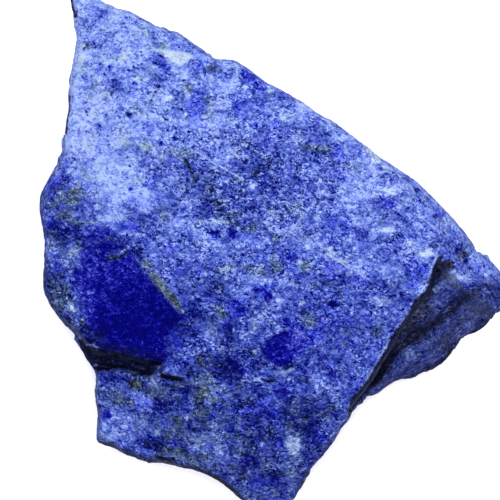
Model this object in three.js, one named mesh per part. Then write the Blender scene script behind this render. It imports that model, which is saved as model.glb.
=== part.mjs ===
// Raw lapis lazuli: one broken lump of rock, lying on its flat back fracture with the broad face up.
// Millimetres, +Z up. The stone's plan is drawn on a chart of "units", u to the right and v down,
// and one unit is UNIT millimetres. The origin is at the centre of the bounding box, on the resting face.
import * as THREE from 'three';

// ---- driving dimensions ----
const UNIT = 0.17;              // millimetres per chart unit
const CENTRE_U = 255;           // hub of the plan: every outline point is seen straight from here
const CENTRE_V = 262;
const CROWN_Z = 39.0;           // height of the broad face over its middle
const CROWN_U = 268;            // where the broad face is highest
const CROWN_V = 228;
const FALL_U = 8.2;             // how far the face falls over CROWN_REACH to either side
const FALL_V = 7.6;             // and towards the tip and the foot
const CROWN_REACH = 240;        // in units
const FOOT_FALL = 4.5;          // extra fall of the lowest quarter
const EDGE_ROUND = 7;           // width of the rounded brink, in units
const EDGE_DROP = 1.5;          // how far the brink rolls down
const RIM_RINGS = 21;           // rings of the top, each with 6 more corners than the last
const WALL_RINGS = 10;          // rings of the flanks
const LEDGE_HIGH = 25.0;        // height of the ledge under the ridge, at its upper end
const LEDGE_LOW = 20.0;         // and at its lower end
const CREVICE_DEPTH = 3.6;      // the dark split along the foot of the ridge
const POCKET_DEPTH = 3.4;       // the hollow under the ridge's upper end
const RIDGE_FOOT = 5;           // width of the wall under the ridge, in units
const STEP_DEPTH = 6.2;         // how far the lower left ledge lies under the main face
const TRENCH_DEPTH = 7.5;       // the undercut between the blue dish and that ledge
const DISH_DEPTH = 1.1;         // the hollow of the deep blue patch
const BRINK_DEPTH = 0.55;       // the step down into it along its upper right
const KNOB_HEIGHT = 1.6;        // the bulge on the left

// Plan outline, clockwise from the upper left tip: u, v, and the height of the brink where it bounds the recess
const OUTLINE = [
  [70, -5, 30], [78, -10, 30], [88, -6, 30], [98.5, -1, 30], [115, 6.6, 31], [130.5, 11.4, 31], [145.5, 19.4, 31], [154, 24, 31],
  [164, 29, 31], [175, 31, 31], [184, 36, 31], [193, 43, 31], [203, 49, 31], [216, 59, 31], [234, 60, 31], [244, 66, 31],
  [253, 72, 31], [264, 80, 31], [274, 86, 31], [292, 96, 31], [302, 102, 31], [311, 108, 31], [321, 115, 31], [331, 120, 31],
  [347, 132, 31], [363, 144, 30], [370, 149, 30], [378, 156, 29], [388, 162, 28], [397, 168, 28], [414, 180, 27], [428, 192, 26],
  [439, 204, 25], [451, 216, 24], [462, 228, 23], [471, 240, 22], [479, 252, 21], [488, 258, 20], [497, 266, 18], [505, 276, 16],
  [509, 287, 14], [506, 299, 12], [497, 312, 11], [488, 326, 10], [479, 333, 10], [468, 336, 9], [461, 340, 9], [455, 348, 9],
  [445, 360, 9], [436, 367, 9], [426, 373, 9], [414, 378, 9], [402, 380, 10], [391, 385, 11], [380, 393, 12], [368, 397, 14],
  [360, 405, 18], [353, 411, 24], [348, 421, 27], [339, 432, 27], [332, 444, 27], [323, 456, 26], [313, 467, 25], [305, 480, 25],
  [298.5, 491.5, 24], [291.5, 503.5, 23], [280, 510, 22], [266, 512, 22], [252, 507, 22], [241, 500, 22], [232, 492, 22], [220, 483, 23],
  [205, 475, 23], [190, 470, 23], [175, 467, 23], [160, 464, 23], [145, 463, 22], [129, 457, 22], [114, 450, 21], [98, 443, 20],
  [96, 434, 20], [97, 420, 20], [97, 408, 20], [94, 396, 20], [95, 384, 20], [94, 372, 19], [86, 360, 17], [79, 348, 19],
  [74, 336, 25], [65, 326, 27], [55, 313, 27], [47, 300, 27], [43, 288, 27], [43, 276, 27], [44, 264, 27], [44, 252, 27],
  [44, 240, 27], [42, 228, 27], [40, 216, 27], [39, 204, 27], [41, 192, 27], [48, 180, 28], [54, 168, 29], [62, 157, 29],
  [65, 145, 29], [65, 132, 29], [66, 120, 29], [68, 108, 29], [68, 96, 29], [70, 84, 29], [71, 72, 29], [73, 60, 29],
  [75, 48, 29], [76, 36, 29], [74, 24, 29], [72, 12, 29],
];
// The sharp ridge where the broad face ends on the right, from its upper end down
const RIDGE = [[441, 249], [437, 258], [434, 265], [431, 273], [428, 283], [424, 291], [418, 298], [413, 305], [408, 317], [403, 323], [398, 331],
  [393, 341], [385, 355], [378, 367], [370, 380], [362, 391], [355, 399], [347, 411]];
// The recess below it, closed by the outline
const RECESS = [...RIDGE, [356, 424], [430, 400], [520, 345], [530, 292], [505, 288], [492, 284], [480, 281], [470, 277], [460, 269], [449, 257]];
const CREVICE = [[482, 284], [472, 290], [462, 298], [453, 307], [440, 318], [425, 330], [410, 340], [396, 350], [386, 363], [376, 380], [362, 398]];
const POCKET = [[434, 266], [441, 259], [449, 259], [456, 265], [452, 273], [444, 280], [437, 286], [429, 294], [430, 280]];
const TRENCH = [[68, 334], [80, 349], [90, 359], [104, 362], [120, 363], [134, 367], [147, 370], [157, 367]];
const STEP_LINE = [[60, 352], [84, 360], [104, 364], [122, 367], [148, 374], [165, 377], [186, 382], [205, 390], [222, 394]];
const DISH = [[86, 251], [96, 244], [106, 241], [116, 241], [125, 247], [133, 251], [138, 259], [142, 268], [150, 278], [158, 287],
  [166, 297], [174, 306], [182, 314], [188, 324], [184, 336], [173, 346], [163, 358], [148, 360], [132, 357], [118, 352],
  [104, 348], [94, 339], [86, 327], [80, 313], [77, 299], [75, 286], [74, 274], [80, 262]];
const BRINK = [[100, 242], [116, 243], [131, 248], [142, 266], [164, 294], [186, 318]];
// The plan lower down, each corner with its height, and the resting face
const BELT = [[83, 26, 15], [140, 50, 13], [238, 90, 17], [330, 150, 13], [420, 214, 12], [472, 272, 7], [464, 316, 4], [400, 366, 5], [335, 398, 12],
  [290, 466, 10], [246, 474, 8], [170, 442, 12], [110, 418, 9], [103, 366, 10], [66, 300, 15], [60, 216, 12], [82, 110, 14]];
const BASE = [[164, 146], [241, 142], [328, 204], [384, 282], [338, 356], [262, 394], [172, 368], [122, 284], [130, 200]];
// Fractures that cut the flanks flat: outward direction, and how deep each one bites
const CUTS = [[-0.86, 0.30, -0.41, 2.6], [-0.55, -0.72, -0.42, 3.2], [0.30, 0.86, -0.41, 2.8], [0.78, 0.42, -0.46, 2.4], [0.20, -0.86, -0.47, 3.0],
  [0.62, -0.50, -0.60, 2.6], [-0.70, -0.40, -0.59, 3.0], [-0.93, 0.05, 0.36, 1.4], [0.55, 0.80, 0.25, 1.2]];

// ---- helpers ----
const clamp = (x, a, b) => Math.min(b, Math.max(a, x));
const smooth = (a, b, x) => { const t = clamp((x - a) / (b - a), 0, 1); return t * t * (3 - 2 * t); };
const lerp = (a, b, t) => a + (b - a) * t;

// distance to a run of segments, and how far along the nearest point lies (0 to 1)
function toLine(u, v, line, closed = false) {
  let best = Infinity, where = 0;
  const n = closed ? line.length : line.length - 1;
  for (let i = 0; i < n; i++) {
    const [ax, ay] = line[i], [bx, by] = line[(i + 1) % line.length];
    const dx = bx - ax, dy = by - ay;
    const t = clamp(((u - ax) * dx + (v - ay) * dy) / (dx * dx + dy * dy), 0, 1);
    const d = Math.hypot(u - ax - t * dx, v - ay - t * dy);
    if (d < best) { best = d; where = (i + t) / n; }
  }
  return [best, where];
}
// distance inside a closed plan is positive, outside negative
function inside(u, v, ring) {
  let odd = false;
  for (let i = 0, j = ring.length - 1; i < ring.length; j = i++) {
    const [ax, ay] = ring[i], [bx, by] = ring[j];
    if ((ay > v) !== (by > v) && u < (bx - ax) * (v - ay) / (by - ay) + ax) odd = !odd;
  }
  return (odd ? 1 : -1) * toLine(u, v, ring, true)[0];
}
// slow swell of a natural fracture face, in millimetres
const swell = (u, v) => 0.55 * Math.sin(u / 31 + 1.3 * Math.sin(v / 47)) * Math.cos(v / 37 + 0.8 * Math.sin(u / 53))
  + 0.28 * Math.sin(u / 13.7 + v / 19.3 + 2.0 * Math.sin(v / 29)) + 0.18 * Math.cos(v / 11.9 - u / 23.1 + 1.5 * Math.sin(u / 17));

// ---- the upper surface ----
const BROW = [[441, 249], [449, 257], [460, 269], [470, 277], [480, 281], [492, 284], [512, 289]];
function topZ(u, v, rimZ, edge) {
  // the broad face, a low dome
  let face = CROWN_Z - FALL_U * ((u - CROWN_U) / CROWN_REACH) ** 2 - FALL_V * ((v - CROWN_V) / CROWN_REACH) ** 2;
  face -= FOOT_FALL * smooth(390, 530, v) + 2.2 * smooth(110, 10, v + 0.4 * u - 30);
  face += swell(u, v) * smooth(0, 22, edge);
  // the strip along the upper right rolls down to the right corner
  const strip = inside(u, v, [[340, 118], [392, 176], [430, 216], [444, 244], [452, 262], [530, 345], [580, 250], [420, 90]]);
  face -= 0.16 * Math.max(0, strip) + 0.9 * smooth(0, 12, strip);
  // the deep blue dish, with a step down along its upper right
  const dish = inside(u, v, DISH);
  face -= DISH_DEPTH * smooth(-6, 26, dish) + BRINK_DEPTH * smooth(-1.5, 2.5, dish) * smooth(34, 8, toLine(u, v, BRINK)[0]);
  // the bulge on the left and the dip behind it
  const knob = Math.hypot((u - 60) / 25, (v - 207) / 31);
  face += KNOB_HEIGHT * Math.exp(-knob * knob * 1.2) - 0.8 * Math.exp(-(((knob - 1.35) / 0.35) ** 2));
  // the lower left ledge and the undercut above it
  const [toStep, along] = toLine(u, v, STEP_LINE);
  const i = Math.min(STEP_LINE.length - 2, Math.floor(along * (STEP_LINE.length - 1)));
  const [ax, ay] = STEP_LINE[i], [bx, by] = STEP_LINE[i + 1];
  const below = Math.sign((bx - ax) * (v - ay) - (by - ay) * (u - ax)) * toStep;
  face -= STEP_DEPTH * smooth(215, 100, u) * smooth(-2, 4, below) * smooth(190, 20, below);
  const [toTrench, run] = toLine(u, v, TRENCH);
  face -= TRENCH_DEPTH * smooth(11.5 - 4.5 * run, 4.5, toTrench);
  // the brink
  const roll = clamp(1 - edge / EDGE_ROUND, 0, 1);
  face -= EDGE_DROP * roll * roll;
  const recess = inside(u, v, RECESS);
  if (recess < -0.5) return face;
  // the recess on the right: ledge, crevice, outer mass, pocket
  const [toRidge, down] = toLine(u, v, RIDGE);
  const q = toRidge / (toRidge + edge + 1e-9);
  const foot = lerp(LEDGE_HIGH, LEDGE_LOW, down);
  let low = foot - (foot - rimZ) * Math.pow(q, 1.2);
  const [toCrevice, run2] = toLine(u, v, CREVICE);
  low -= CREVICE_DEPTH * Math.exp(-((toCrevice / 3.6) ** 2));
  low += 2.6 * smooth(0.30, 0.60, q) * (1 - smooth(0.70, 1, q)) * smooth(0, 0.15, run2);
  low += 0.45 * Math.sin(u / 7.3 + v / 9.1) * Math.cos(v / 6.7 - u / 11.3) * smooth(0, 10, edge);
  low -= POCKET_DEPTH * smooth(-1, 4, inside(u, v, POCKET));
  // where the recess opens from the strip there is no cliff
  const brow = toLine(u, v, BROW)[0];
  return Math.min(face, lerp(face, low, smooth(-0.5, RIDGE_FOOT - 1, recess) * smooth(1, 17, brow - 0.3 * toRidge)));
}

// ---- plan curves by share of their length ----
function resample(line, count) {
  const n = line.length, cum = [0];
  for (let i = 0; i < n; i++) {
    const a = line[i], b = line[(i + 1) % n];
    cum.push(cum[i] + Math.hypot(b[0] - a[0], b[1] - a[1]));
  }
  const out = [];
  for (let k = 0, i = 0; k < count; k++) {
    const s = cum[n] * k / count;
    while (cum[i + 1] < s) i++;
    const t = (s - cum[i]) / (cum[i + 1] - cum[i]), a = line[i], b = line[(i + 1) % n];
    out.push(a.map((x, m) => lerp(x, b[m], t)));
  }
  return out;
}
// where a ray from the hub towards (u, v) leaves a closed plan
function rayOut(u, v, ring) {
  const dx = u - CENTRE_U, dy = v - CENTRE_V;
  let best = null;
  for (let i = 0; i < ring.length; i++) {
    const a = ring[i], b = ring[(i + 1) % ring.length];
    const ex = b[0] - a[0], ey = b[1] - a[1];
    const det = dx * -ey + ex * dy;
    if (Math.abs(det) < 1e-9) continue;
    const px = a[0] - CENTRE_U, py = a[1] - CENTRE_V;
    const t = (px * -ey + ex * py) / det, s = (dx * py - dy * px) / det;
    if (t > 0 && s >= -1e-9 && s <= 1 + 1e-9 && (!best || t > best[0])) best = [t, a.map((x, m) => lerp(x, b[m], s))];
  }
  return best[1];
}

function stoneGeometry() {
  const N = RIM_RINGS, RIM = 6 * N, KEY = Math.round(0.76 * N);
  const rim = resample(OUTLINE, RIM);
  const points = [], triangles = [];
  const put = (u, v, z) => { points.push([(u - CENTRE_U) * UNIT, (CENTRE_V - v) * UNIT, z]); return points.length - 1; };
  // one ring, KEY, runs along the sharp ridge and the next along its foot: the share of each spoke at which it is met
  const met = rim.map(([pu, pv]) => {
    const dx = pu - CENTRE_U, dy = pv - CENTRE_V;
    for (let i = 0; i < RIDGE.length - 1; i++) {
      const [ax, ay] = RIDGE[i], ex = RIDGE[i + 1][0] - ax, ey = RIDGE[i + 1][1] - ay;
      const det = ex * dy - ey * dx, px = ax - CENTRE_U, py = ay - CENTRE_V;
      const t = (ex * py - ey * px) / det, s = (dx * py - dy * px) / det;
      if (t > 0 && t <= 1.05 && s >= 0 && s <= 1) return Math.min(t, 0.985);
    }
    return null;
  });
  const key = met.map((m, i) => {
    if (m !== null) return m;
    for (let k = 1; k < 16; k++) {
      for (const o of [met[(i + k) % RIM], met[(i - k + RIM) % RIM]]) if (o !== null) return lerp(o, KEY / N, smooth(0, 15, k));
    }
    return KEY / N;
  });
  const onRidge = met.map((m) => (m !== null ? 1 : 0));
  rim.forEach((p, i) => p.push(key[i], onRidge[i]));
  const along = (s) => {
    const x = ((s % 1) + 1) % 1 * RIM, i = Math.floor(x) % RIM, t = x - Math.floor(x);
    return rim[i].map((c, m) => lerp(c, rim[(i + 1) % RIM][m], t));
  };
  // top: rings from the hub to the outline
  const hub = topZ(CENTRE_U, CENTRE_V, 0, 200);
  const rings = [[put(CENTRE_U, CENTRE_V, hub)]];
  const rimHeights = [];
  for (let k = 1; k <= N; k++) {
    const ring = [];
    for (let i = 0; i < 6 * k; i++) {
      const [pu, pv, rimZ, keyRho, ridged] = along(i / (6 * k));
      const reach = Math.hypot(pu - CENTRE_U, pv - CENTRE_V);
      const footRho = lerp(keyRho + (1 - keyRho) / (N - KEY), Math.min(keyRho + RIDGE_FOOT / reach, keyRho + 0.5 * (1 - keyRho)), ridged);
      const rho = k <= KEY ? keyRho * k / KEY : lerp(footRho, 1, (k - KEY - 1) / (N - KEY - 1));
      const u = lerp(CENTRE_U, pu, rho), v = lerp(CENTRE_V, pv, rho);
      const z = topZ(u, v, rimZ, k === N ? 0 : toLine(u, v, OUTLINE, true)[0]);
      if (k === N) rimHeights.push(z);
      ring.push(put(u, v, z));
    }
    rings.push(ring);
  }
  for (let k = 0; k < N; k++) {
    const a = rings[k], b = rings[k + 1];
    if (k === 0) { for (let i = 0; i < 6; i++) triangles.push([a[0], b[(i + 1) % 6], b[i]]); continue; }
    for (let side = 0; side < 6; side++) {
      for (let i = 0; i <= k; i++) {
        const a0 = a[(side * k + i) % a.length], b0 = b[(side * (k + 1) + i) % b.length], b1 = b[(side * (k + 1) + i + 1) % b.length];
        triangles.push([a0, b1, b0]);
        if (i < k) triangles.push([a0, a[(side * k + i + 1) % a.length], b1]);
      }
    }
  }
  // flanks: down from the outline by way of the belt to the resting face
  const flank = (i, t) => {
    const [pu, pv] = rim[i], rimZ = rimHeights[i];
    const [bu, bv, beltZ] = rayOut(pu, pv, BELT), [fu, fv] = rayOut(pu, pv, BASE);
    const belt = Math.min(beltZ, rimZ - 4);
    if (t <= 0.5) { const s = t * 2, w = Math.pow(s, 1.2); return [lerp(pu, bu, w), lerp(pv, bv, w), lerp(rimZ, belt, s)]; }
    const s = t * 2 - 1;
    return [lerp(bu, fu, s), lerp(bv, fv, s), lerp(belt, 0, s)];
  };
  const reach = ([nx, ny, nz], [u, v, z]) => (nx * (u - CENTRE_U) - ny * (v - CENTRE_V)) * UNIT + nz * z;
  const cuts = CUTS.map((c) => {
    let far = -Infinity;
    for (let i = 0; i < RIM; i++) for (let j = 2; j <= 8; j++) far = Math.max(far, reach(c, flank(i, j / 10)));
    return [...c.slice(0, 3), far - c[3]];
  });
  let above = rings[N];
  for (let j = 1; j <= WALL_RINGS; j++) {
    const ring = [];
    for (let i = 0; i < RIM; i++) {
      const t = j / WALL_RINGS;
      let [u, v, z] = flank(i, t);
      if (t < 1) {
        // the flat fractures push a point straight in, level with itself
        for (const c of cuts) {
          const over = reach(c, [u, v, z]) - c[3];
          if (over > 0) { const m = over / (c[0] ** 2 + c[1] ** 2) / UNIT * smooth(0, 0.2, t) * smooth(1, 0.8, t); u -= c[0] * m; v += c[1] * m; }
        }
        const rough = (0.02 * Math.sin(u / 9 + z * 0.9) + 0.016 * Math.cos(v / 11 - z * 0.7)) * Math.sin(Math.PI * t);
        u = lerp(u, CENTRE_U, rough); v = lerp(v, CENTRE_V, rough);
      }
      ring.push(put(u, v, z));
    }
    for (let i = 0; i < RIM; i++) {
      const n = (i + 1) % RIM;
      triangles.push([above[i], above[n], ring[i]], [above[n], ring[n], ring[i]]);
    }
    above = ring;
  }
  // resting face: one true plane at z = 0
  const middle = put(CENTRE_U, CENTRE_V, 0);
  for (let i = 0; i < RIM; i++) triangles.push([above[i], above[(i + 1) % RIM], middle]);
  return [points, triangles];
}

const [points, triangles] = stoneGeometry();
// the origin goes to the middle of the bounding box
const low = [Infinity, Infinity], high = [-Infinity, -Infinity];
for (const p of points) for (let m = 0; m < 2; m++) { low[m] = Math.min(low[m], p[m]); high[m] = Math.max(high[m], p[m]); }
const shift = [(low[0] + high[0]) / 2, (low[1] + high[1]) / 2];
const geometry = new THREE.BufferGeometry();
geometry.setAttribute('position', new THREE.Float32BufferAttribute(points.flatMap(([x, y, z]) => [x - shift[0], y - shift[1], z]), 3));
geometry.setIndex(triangles.flat());
geometry.computeVertexNormals();

const lapis = new THREE.MeshStandardMaterial({ name: 'lapis', color: 0x5566c0, roughness: 0.72, metalness: 0.0, flatShading: true });
const stone = new THREE.Mesh(geometry, lapis);
stone.name = 'lapis_stone';

const specimen = new THREE.Group();
specimen.add(stone);
export default specimen;
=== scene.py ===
import math

import bpy
import numpy as np
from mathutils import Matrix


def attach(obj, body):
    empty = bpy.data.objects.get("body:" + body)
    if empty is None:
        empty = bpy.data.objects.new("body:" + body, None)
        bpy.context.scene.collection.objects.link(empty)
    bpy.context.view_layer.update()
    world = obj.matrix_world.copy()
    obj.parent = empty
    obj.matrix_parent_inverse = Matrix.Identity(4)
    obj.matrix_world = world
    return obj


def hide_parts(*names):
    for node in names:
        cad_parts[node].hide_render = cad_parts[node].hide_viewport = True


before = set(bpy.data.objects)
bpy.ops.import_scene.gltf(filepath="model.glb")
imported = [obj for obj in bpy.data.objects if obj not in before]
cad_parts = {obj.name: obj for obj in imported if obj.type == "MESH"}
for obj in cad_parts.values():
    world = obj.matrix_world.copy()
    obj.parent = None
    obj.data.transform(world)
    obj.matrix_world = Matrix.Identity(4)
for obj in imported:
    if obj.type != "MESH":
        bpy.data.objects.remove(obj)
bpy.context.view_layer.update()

UNIT = 0.17
CENTRE_U, CENTRE_V = 255.0, 262.0
CROWN_Z, CROWN_U, CROWN_V = 39.0, 268.0, 228.0
FALL_U, FALL_V, CROWN_REACH, FOOT_FALL = 8.2, 7.6, 240.0, 4.5
EDGE_ROUND, EDGE_DROP = 7.0, 1.5
LEDGE_HIGH, LEDGE_LOW = 25.0, 20.0
CREVICE_DEPTH, POCKET_DEPTH, RIDGE_FOOT = 3.6, 3.4, 5.0
STEP_DEPTH, TRENCH_DEPTH, DISH_DEPTH, KNOB_HEIGHT = 6.2, 7.5, 1.1, 1.6

OUTLINE = [
    (70, -5, 30), (78, -10, 30), (88, -6, 30), (98.5, -1, 30), (115, 6.6, 31), (130.5, 11.4, 31), (145.5, 19.4, 31), (154, 24, 31),
    (164, 29, 31), (175, 31, 31), (184, 36, 31), (193, 43, 31), (203, 49, 31), (216, 59, 31), (234, 60, 31), (244, 66, 31),
    (253, 72, 31), (264, 80, 31), (274, 86, 31), (292, 96, 31), (302, 102, 31), (311, 108, 31), (321, 115, 31), (331, 120, 31),
    (347, 132, 31), (363, 144, 30), (370, 149, 30), (378, 156, 29), (388, 162, 28), (397, 168, 28), (414, 180, 27), (428, 192, 26),
    (439, 204, 25), (451, 216, 24), (462, 228, 23), (471, 240, 22), (479, 252, 21), (488, 258, 20), (497, 266, 18), (505, 276, 16),
    (509, 287, 14), (506, 299, 12), (497, 312, 11), (488, 326, 10), (479, 333, 10), (468, 336, 9), (461, 340, 9), (455, 348, 9),
    (445, 360, 9), (436, 367, 9), (426, 373, 9), (414, 378, 9), (402, 380, 10), (391, 385, 11), (380, 393, 12), (368, 397, 14),
    (360, 405, 18), (353, 411, 24), (348, 421, 27), (339, 432, 27), (332, 444, 27), (323, 456, 26), (313, 467, 25), (305, 480, 25),
    (298.5, 491.5, 24), (291.5, 503.5, 23), (280, 510, 22), (266, 512, 22), (252, 507, 22), (241, 500, 22), (232, 492, 22), (220, 483, 23),
    (205, 475, 23), (190, 470, 23), (175, 467, 23), (160, 464, 23), (145, 463, 22), (129, 457, 22), (114, 450, 21), (98, 443, 20),
    (96, 434, 20), (97, 420, 20), (97, 408, 20), (94, 396, 20), (95, 384, 20), (94, 372, 19), (86, 360, 17), (79, 348, 19),
    (74, 336, 25), (65, 326, 27), (55, 313, 27), (47, 300, 27), (43, 288, 27), (43, 276, 27), (44, 264, 27), (44, 252, 27),
    (44, 240, 27), (42, 228, 27), (40, 216, 27), (39, 204, 27), (41, 192, 27), (48, 180, 28), (54, 168, 29), (62, 157, 29),
    (65, 145, 29), (65, 132, 29), (66, 120, 29), (68, 108, 29), (68, 96, 29), (70, 84, 29), (71, 72, 29), (73, 60, 29),
    (75, 48, 29), (76, 36, 29), (74, 24, 29), (72, 12, 29),
]
RIDGE = [(441, 249), (437, 258), (435.5, 265), (433, 273.5), (430.5, 284), (426, 292), (419.5, 299), (413, 305), (408, 317), (403, 323),
         (398, 331), (393, 341), (385, 355), (378, 367), (370, 380), (362, 391), (355, 399), (347, 411)]
RECESS = RIDGE + [(356, 424), (430, 400), (520, 345), (530, 292), (505, 288), (492, 284), (480, 281), (470, 277), (460, 269), (449, 257)]
BROW = [(441, 249), (449, 257), (460, 269), (470, 277), (480, 281), (492, 284), (512, 289)]
STRIP = [(340, 118), (392, 176), (430, 216), (444, 244), (452, 262), (530, 345), (580, 250), (420, 90)]
CREVICE = [(482, 284), (472, 290), (462, 298), (453, 307), (440, 318), (425, 330), (410, 340), (396, 350), (386, 363), (376, 380), (362, 398)]
POCKET = [(434, 266), (441, 259), (449, 259), (456, 265), (452, 273), (444, 280), (437, 286), (429, 294), (430, 280)]
TRENCH = [(68, 334), (80, 349), (90, 359), (104, 362), (120, 363), (134, 367), (147, 370), (157, 367)]
STEP_LINE = [(60, 352), (84, 360), (104, 364), (122, 367), (148, 374), (165, 377), (186, 382), (205, 390), (222, 394)]
DISH = [(86, 251), (96, 244), (106, 241), (116, 241), (125, 247), (133, 251), (138, 259), (142, 268), (150, 278), (158, 287),
        (166, 297), (174, 306), (182, 314), (188, 324), (184, 336), (173, 346), (163, 358), (148, 360), (132, 357), (118, 352),
        (104, 348), (94, 339), (86, 327), (80, 313), (77, 299), (75, 286), (74, 274), (80, 262)]
BRINK = [(100, 242), (116, 243), (131, 248), (142, 266), (164, 294), (186, 318)]
BELT = [(83, 26, 15), (140, 50, 13), (238, 90, 17), (330, 150, 13), (420, 214, 12), (472, 272, 7), (464, 316, 4), (400, 366, 5),
        (335, 398, 12), (290, 466, 10), (246, 474, 8), (170, 442, 12), (110, 418, 9), (103, 366, 10), (66, 300, 15), (60, 216, 12), (82, 110, 14)]
BASE = [(164, 146), (241, 142), (328, 204), (384, 282), (338, 356), (262, 394), (172, 368), (122, 284), (130, 200)]
CUTS = [(-0.86, 0.30, -0.41, 2.6), (-0.55, -0.72, -0.42, 3.2), (0.30, 0.86, -0.41, 2.8), (0.78, 0.42, -0.46, 2.4), (0.20, -0.86, -0.47, 3.0),
        (0.62, -0.50, -0.60, 2.6), (-0.70, -0.40, -0.59, 3.0), (-0.93, 0.05, 0.36, 1.4), (0.55, 0.80, 0.25, 1.2)]

# ---------------------------------------------------------------- helpers


def smooth(a, b, x):
    t = np.clip((x - a) / (b - a), 0.0, 1.0)
    return t * t * (3.0 - 2.0 * t)


def lerp(a, b, t):
    return a + (b - a) * t


def to_line(u, v, line, closed=False):
    """Distance to a run of segments, how far along the nearest point lies (0 to 1), and the side it is on."""
    pts = np.asarray([p[:2] for p in line], float)
    a = pts if closed else pts[:-1]
    b = np.roll(pts, -1, axis=0) if closed else pts[1:]
    best = np.full(u.shape, 1e18)
    where = np.zeros(u.shape)
    side = np.zeros(u.shape)
    n = len(a)
    for i in range(n):
        d = b[i] - a[i]
        pu, pv = u - a[i][0], v - a[i][1]
        t = np.clip((pu * d[0] + pv * d[1]) / (d @ d), 0.0, 1.0)
        q = (pu - t * d[0]) ** 2 + (pv - t * d[1]) ** 2
        m = q < best
        best = np.where(m, q, best)
        where = np.where(m, (i + t) / n, where)
        side = np.where(m, np.sign(d[0] * pv - d[1] * pu), side)
    return np.sqrt(best), where, side


def inside(u, v, ring):
    """Distance inside a closed plan is positive, outside negative."""
    odd = np.zeros(u.shape, bool)
    n = len(ring)
    for i in range(n):
        ax, ay = ring[i][:2]
        bx, by = ring[i - 1][:2]
        if ay == by:
            continue
        odd ^= ((ay > v) != (by > v)) & (u < (bx - ax) * (v - ay) / (by - ay) + ax)
    return np.where(odd, 1.0, -1.0) * to_line(u, v, ring, True)[0]


def resample(line, count, curved):
    """Points spaced evenly along a closed plan; curved runs a smooth curve through its corners."""
    p = np.asarray(line, float)
    if curved:
        t = np.linspace(0, 1, 12, endpoint=False)[:, None]
        rows = []
        for i in range(len(p)):
            p0, p1, p2, p3 = p[i - 1], p[i], p[(i + 1) % len(p)], p[(i + 2) % len(p)]
            rows.append(0.5 * (2 * p1 + (p2 - p0) * t + (2 * p0 - 5 * p1 + 4 * p2 - p3) * t ** 2 + (3 * p1 - p0 - 3 * p2 + p3) * t ** 3))
        p = np.concatenate(rows)
    nxt = np.roll(p, -1, axis=0)
    seg = np.hypot(*(nxt - p)[:, :2].T)
    cum = np.concatenate([[0], np.cumsum(seg)])
    s = cum[-1] * np.arange(count) / count
    i = np.clip(np.searchsorted(cum, s, side="right") - 1, 0, len(p) - 1)
    t = ((s - cum[i]) / seg[i])[:, None]
    return p[i] + (nxt[i] - p[i]) * t


def ray_out(pu, pv, ring):
    """Where the spoke through (pu, pv) leaves a closed plan."""
    r = np.asarray(ring, float)
    dx, dy = pu - CENTRE_U, pv - CENTRE_V
    best = np.full(pu.shape, -1.0)
    out = np.zeros((len(pu), r.shape[1]))
    for i in range(len(r)):
        a, b = r[i], r[(i + 1) % len(r)]
        ex, ey = b[0] - a[0], b[1] - a[1]
        det = -dx * ey + ex * dy
        det = np.where(np.abs(det) < 1e-9, 1e-9, det)
        px, py = a[0] - CENTRE_U, a[1] - CENTRE_V
        t = (-px * ey + ex * py) / det
        s = (dx * py - dy * px) / det
        hit = (t > 0) & (s >= -1e-9) & (s <= 1 + 1e-9) & (t > best)
        best = np.where(hit, t, best)
        out = np.where(hit[:, None], a + (b - a) * s[:, None], out)
    return out


# ---- solid noise
_rng = np.random.RandomState(4021)
_PERM = np.concatenate([_rng.permutation(512)] * 3)
_GRAD = _rng.normal(size=(512, 3))
_GRAD /= np.linalg.norm(_GRAD, axis=1)[:, None]
_RAND = _rng.rand(512, 4)


def _hash(ix, iy, iz, seed):
    a = _PERM[(ix + 37 * seed) & 511]
    b = _PERM[(a + iy) & 511]
    return _PERM[(b + iz + 11 * seed) & 511]


def noise(p, size, seed=0):
    """Gradient noise, about -1 to 1, of features `size` mm wide."""
    q = p / size
    i = np.floor(q).astype(np.int64)
    f = q - i
    w = f * f * f * (f * (f * 6 - 15) + 10)
    total = np.zeros(len(p))
    for dx in (0, 1):
        for dy in (0, 1):
            for dz in (0, 1):
                g = _GRAD[_hash(i[:, 0] + dx, i[:, 1] + dy, i[:, 2] + dz, seed)]
                d = (g * (f - (dx, dy, dz))).sum(1)
                total += d * (w[:, 0] if dx else 1 - w[:, 0]) * (w[:, 1] if dy else 1 - w[:, 1]) * (w[:, 2] if dz else 1 - w[:, 2])
    return total * 1.6


def fbm(p, size, octaves, seed=0, gain=0.5):
    total, amp, norm = np.zeros(len(p)), 1.0, 0.0
    for k in range(octaves):
        total += amp * noise(p, size / 2 ** k, seed + 5 * k)
        norm += amp
        amp *= gain
    return total / norm


def facets(p, size, seed=0, tilt=0.35):
    """Little flat breaks: each cell is a plane of its own, tilted at random. Millimetres."""
    q = p / size
    i = np.floor(q).astype(np.int64)
    best = np.full(len(p), 1e9)
    h = np.zeros(len(p))
    for dx in (-1, 0, 1):
        for dy in (-1, 0, 1):
            for dz in (-1, 0, 1):
                c = i + (dx, dy, dz)
                k = _hash(c[:, 0], c[:, 1], c[:, 2], seed)
                o = c + _RAND[k][:, :3]
                d = q - o
                dd = (d * d).sum(1)
                m = dd < best
                best = np.where(m, dd, best)
                h = np.where(m, (d * _GRAD[(k + 99) & 511]).sum(1) * tilt + (_RAND[k][:, 3] - 0.5) * 0.25, h)
    return h * size


def swell(u, v):
    return (0.55 * np.sin(u / 31 + 1.3 * np.sin(v / 47)) * np.cos(v / 37 + 0.8 * np.sin(u / 53))
            + 0.28 * np.sin(u / 13.7 + v / 19.3 + 2.0 * np.sin(v / 29)) + 0.18 * np.cos(v / 11.9 - u / 23.1 + 1.5 * np.sin(u / 17)))


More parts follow.
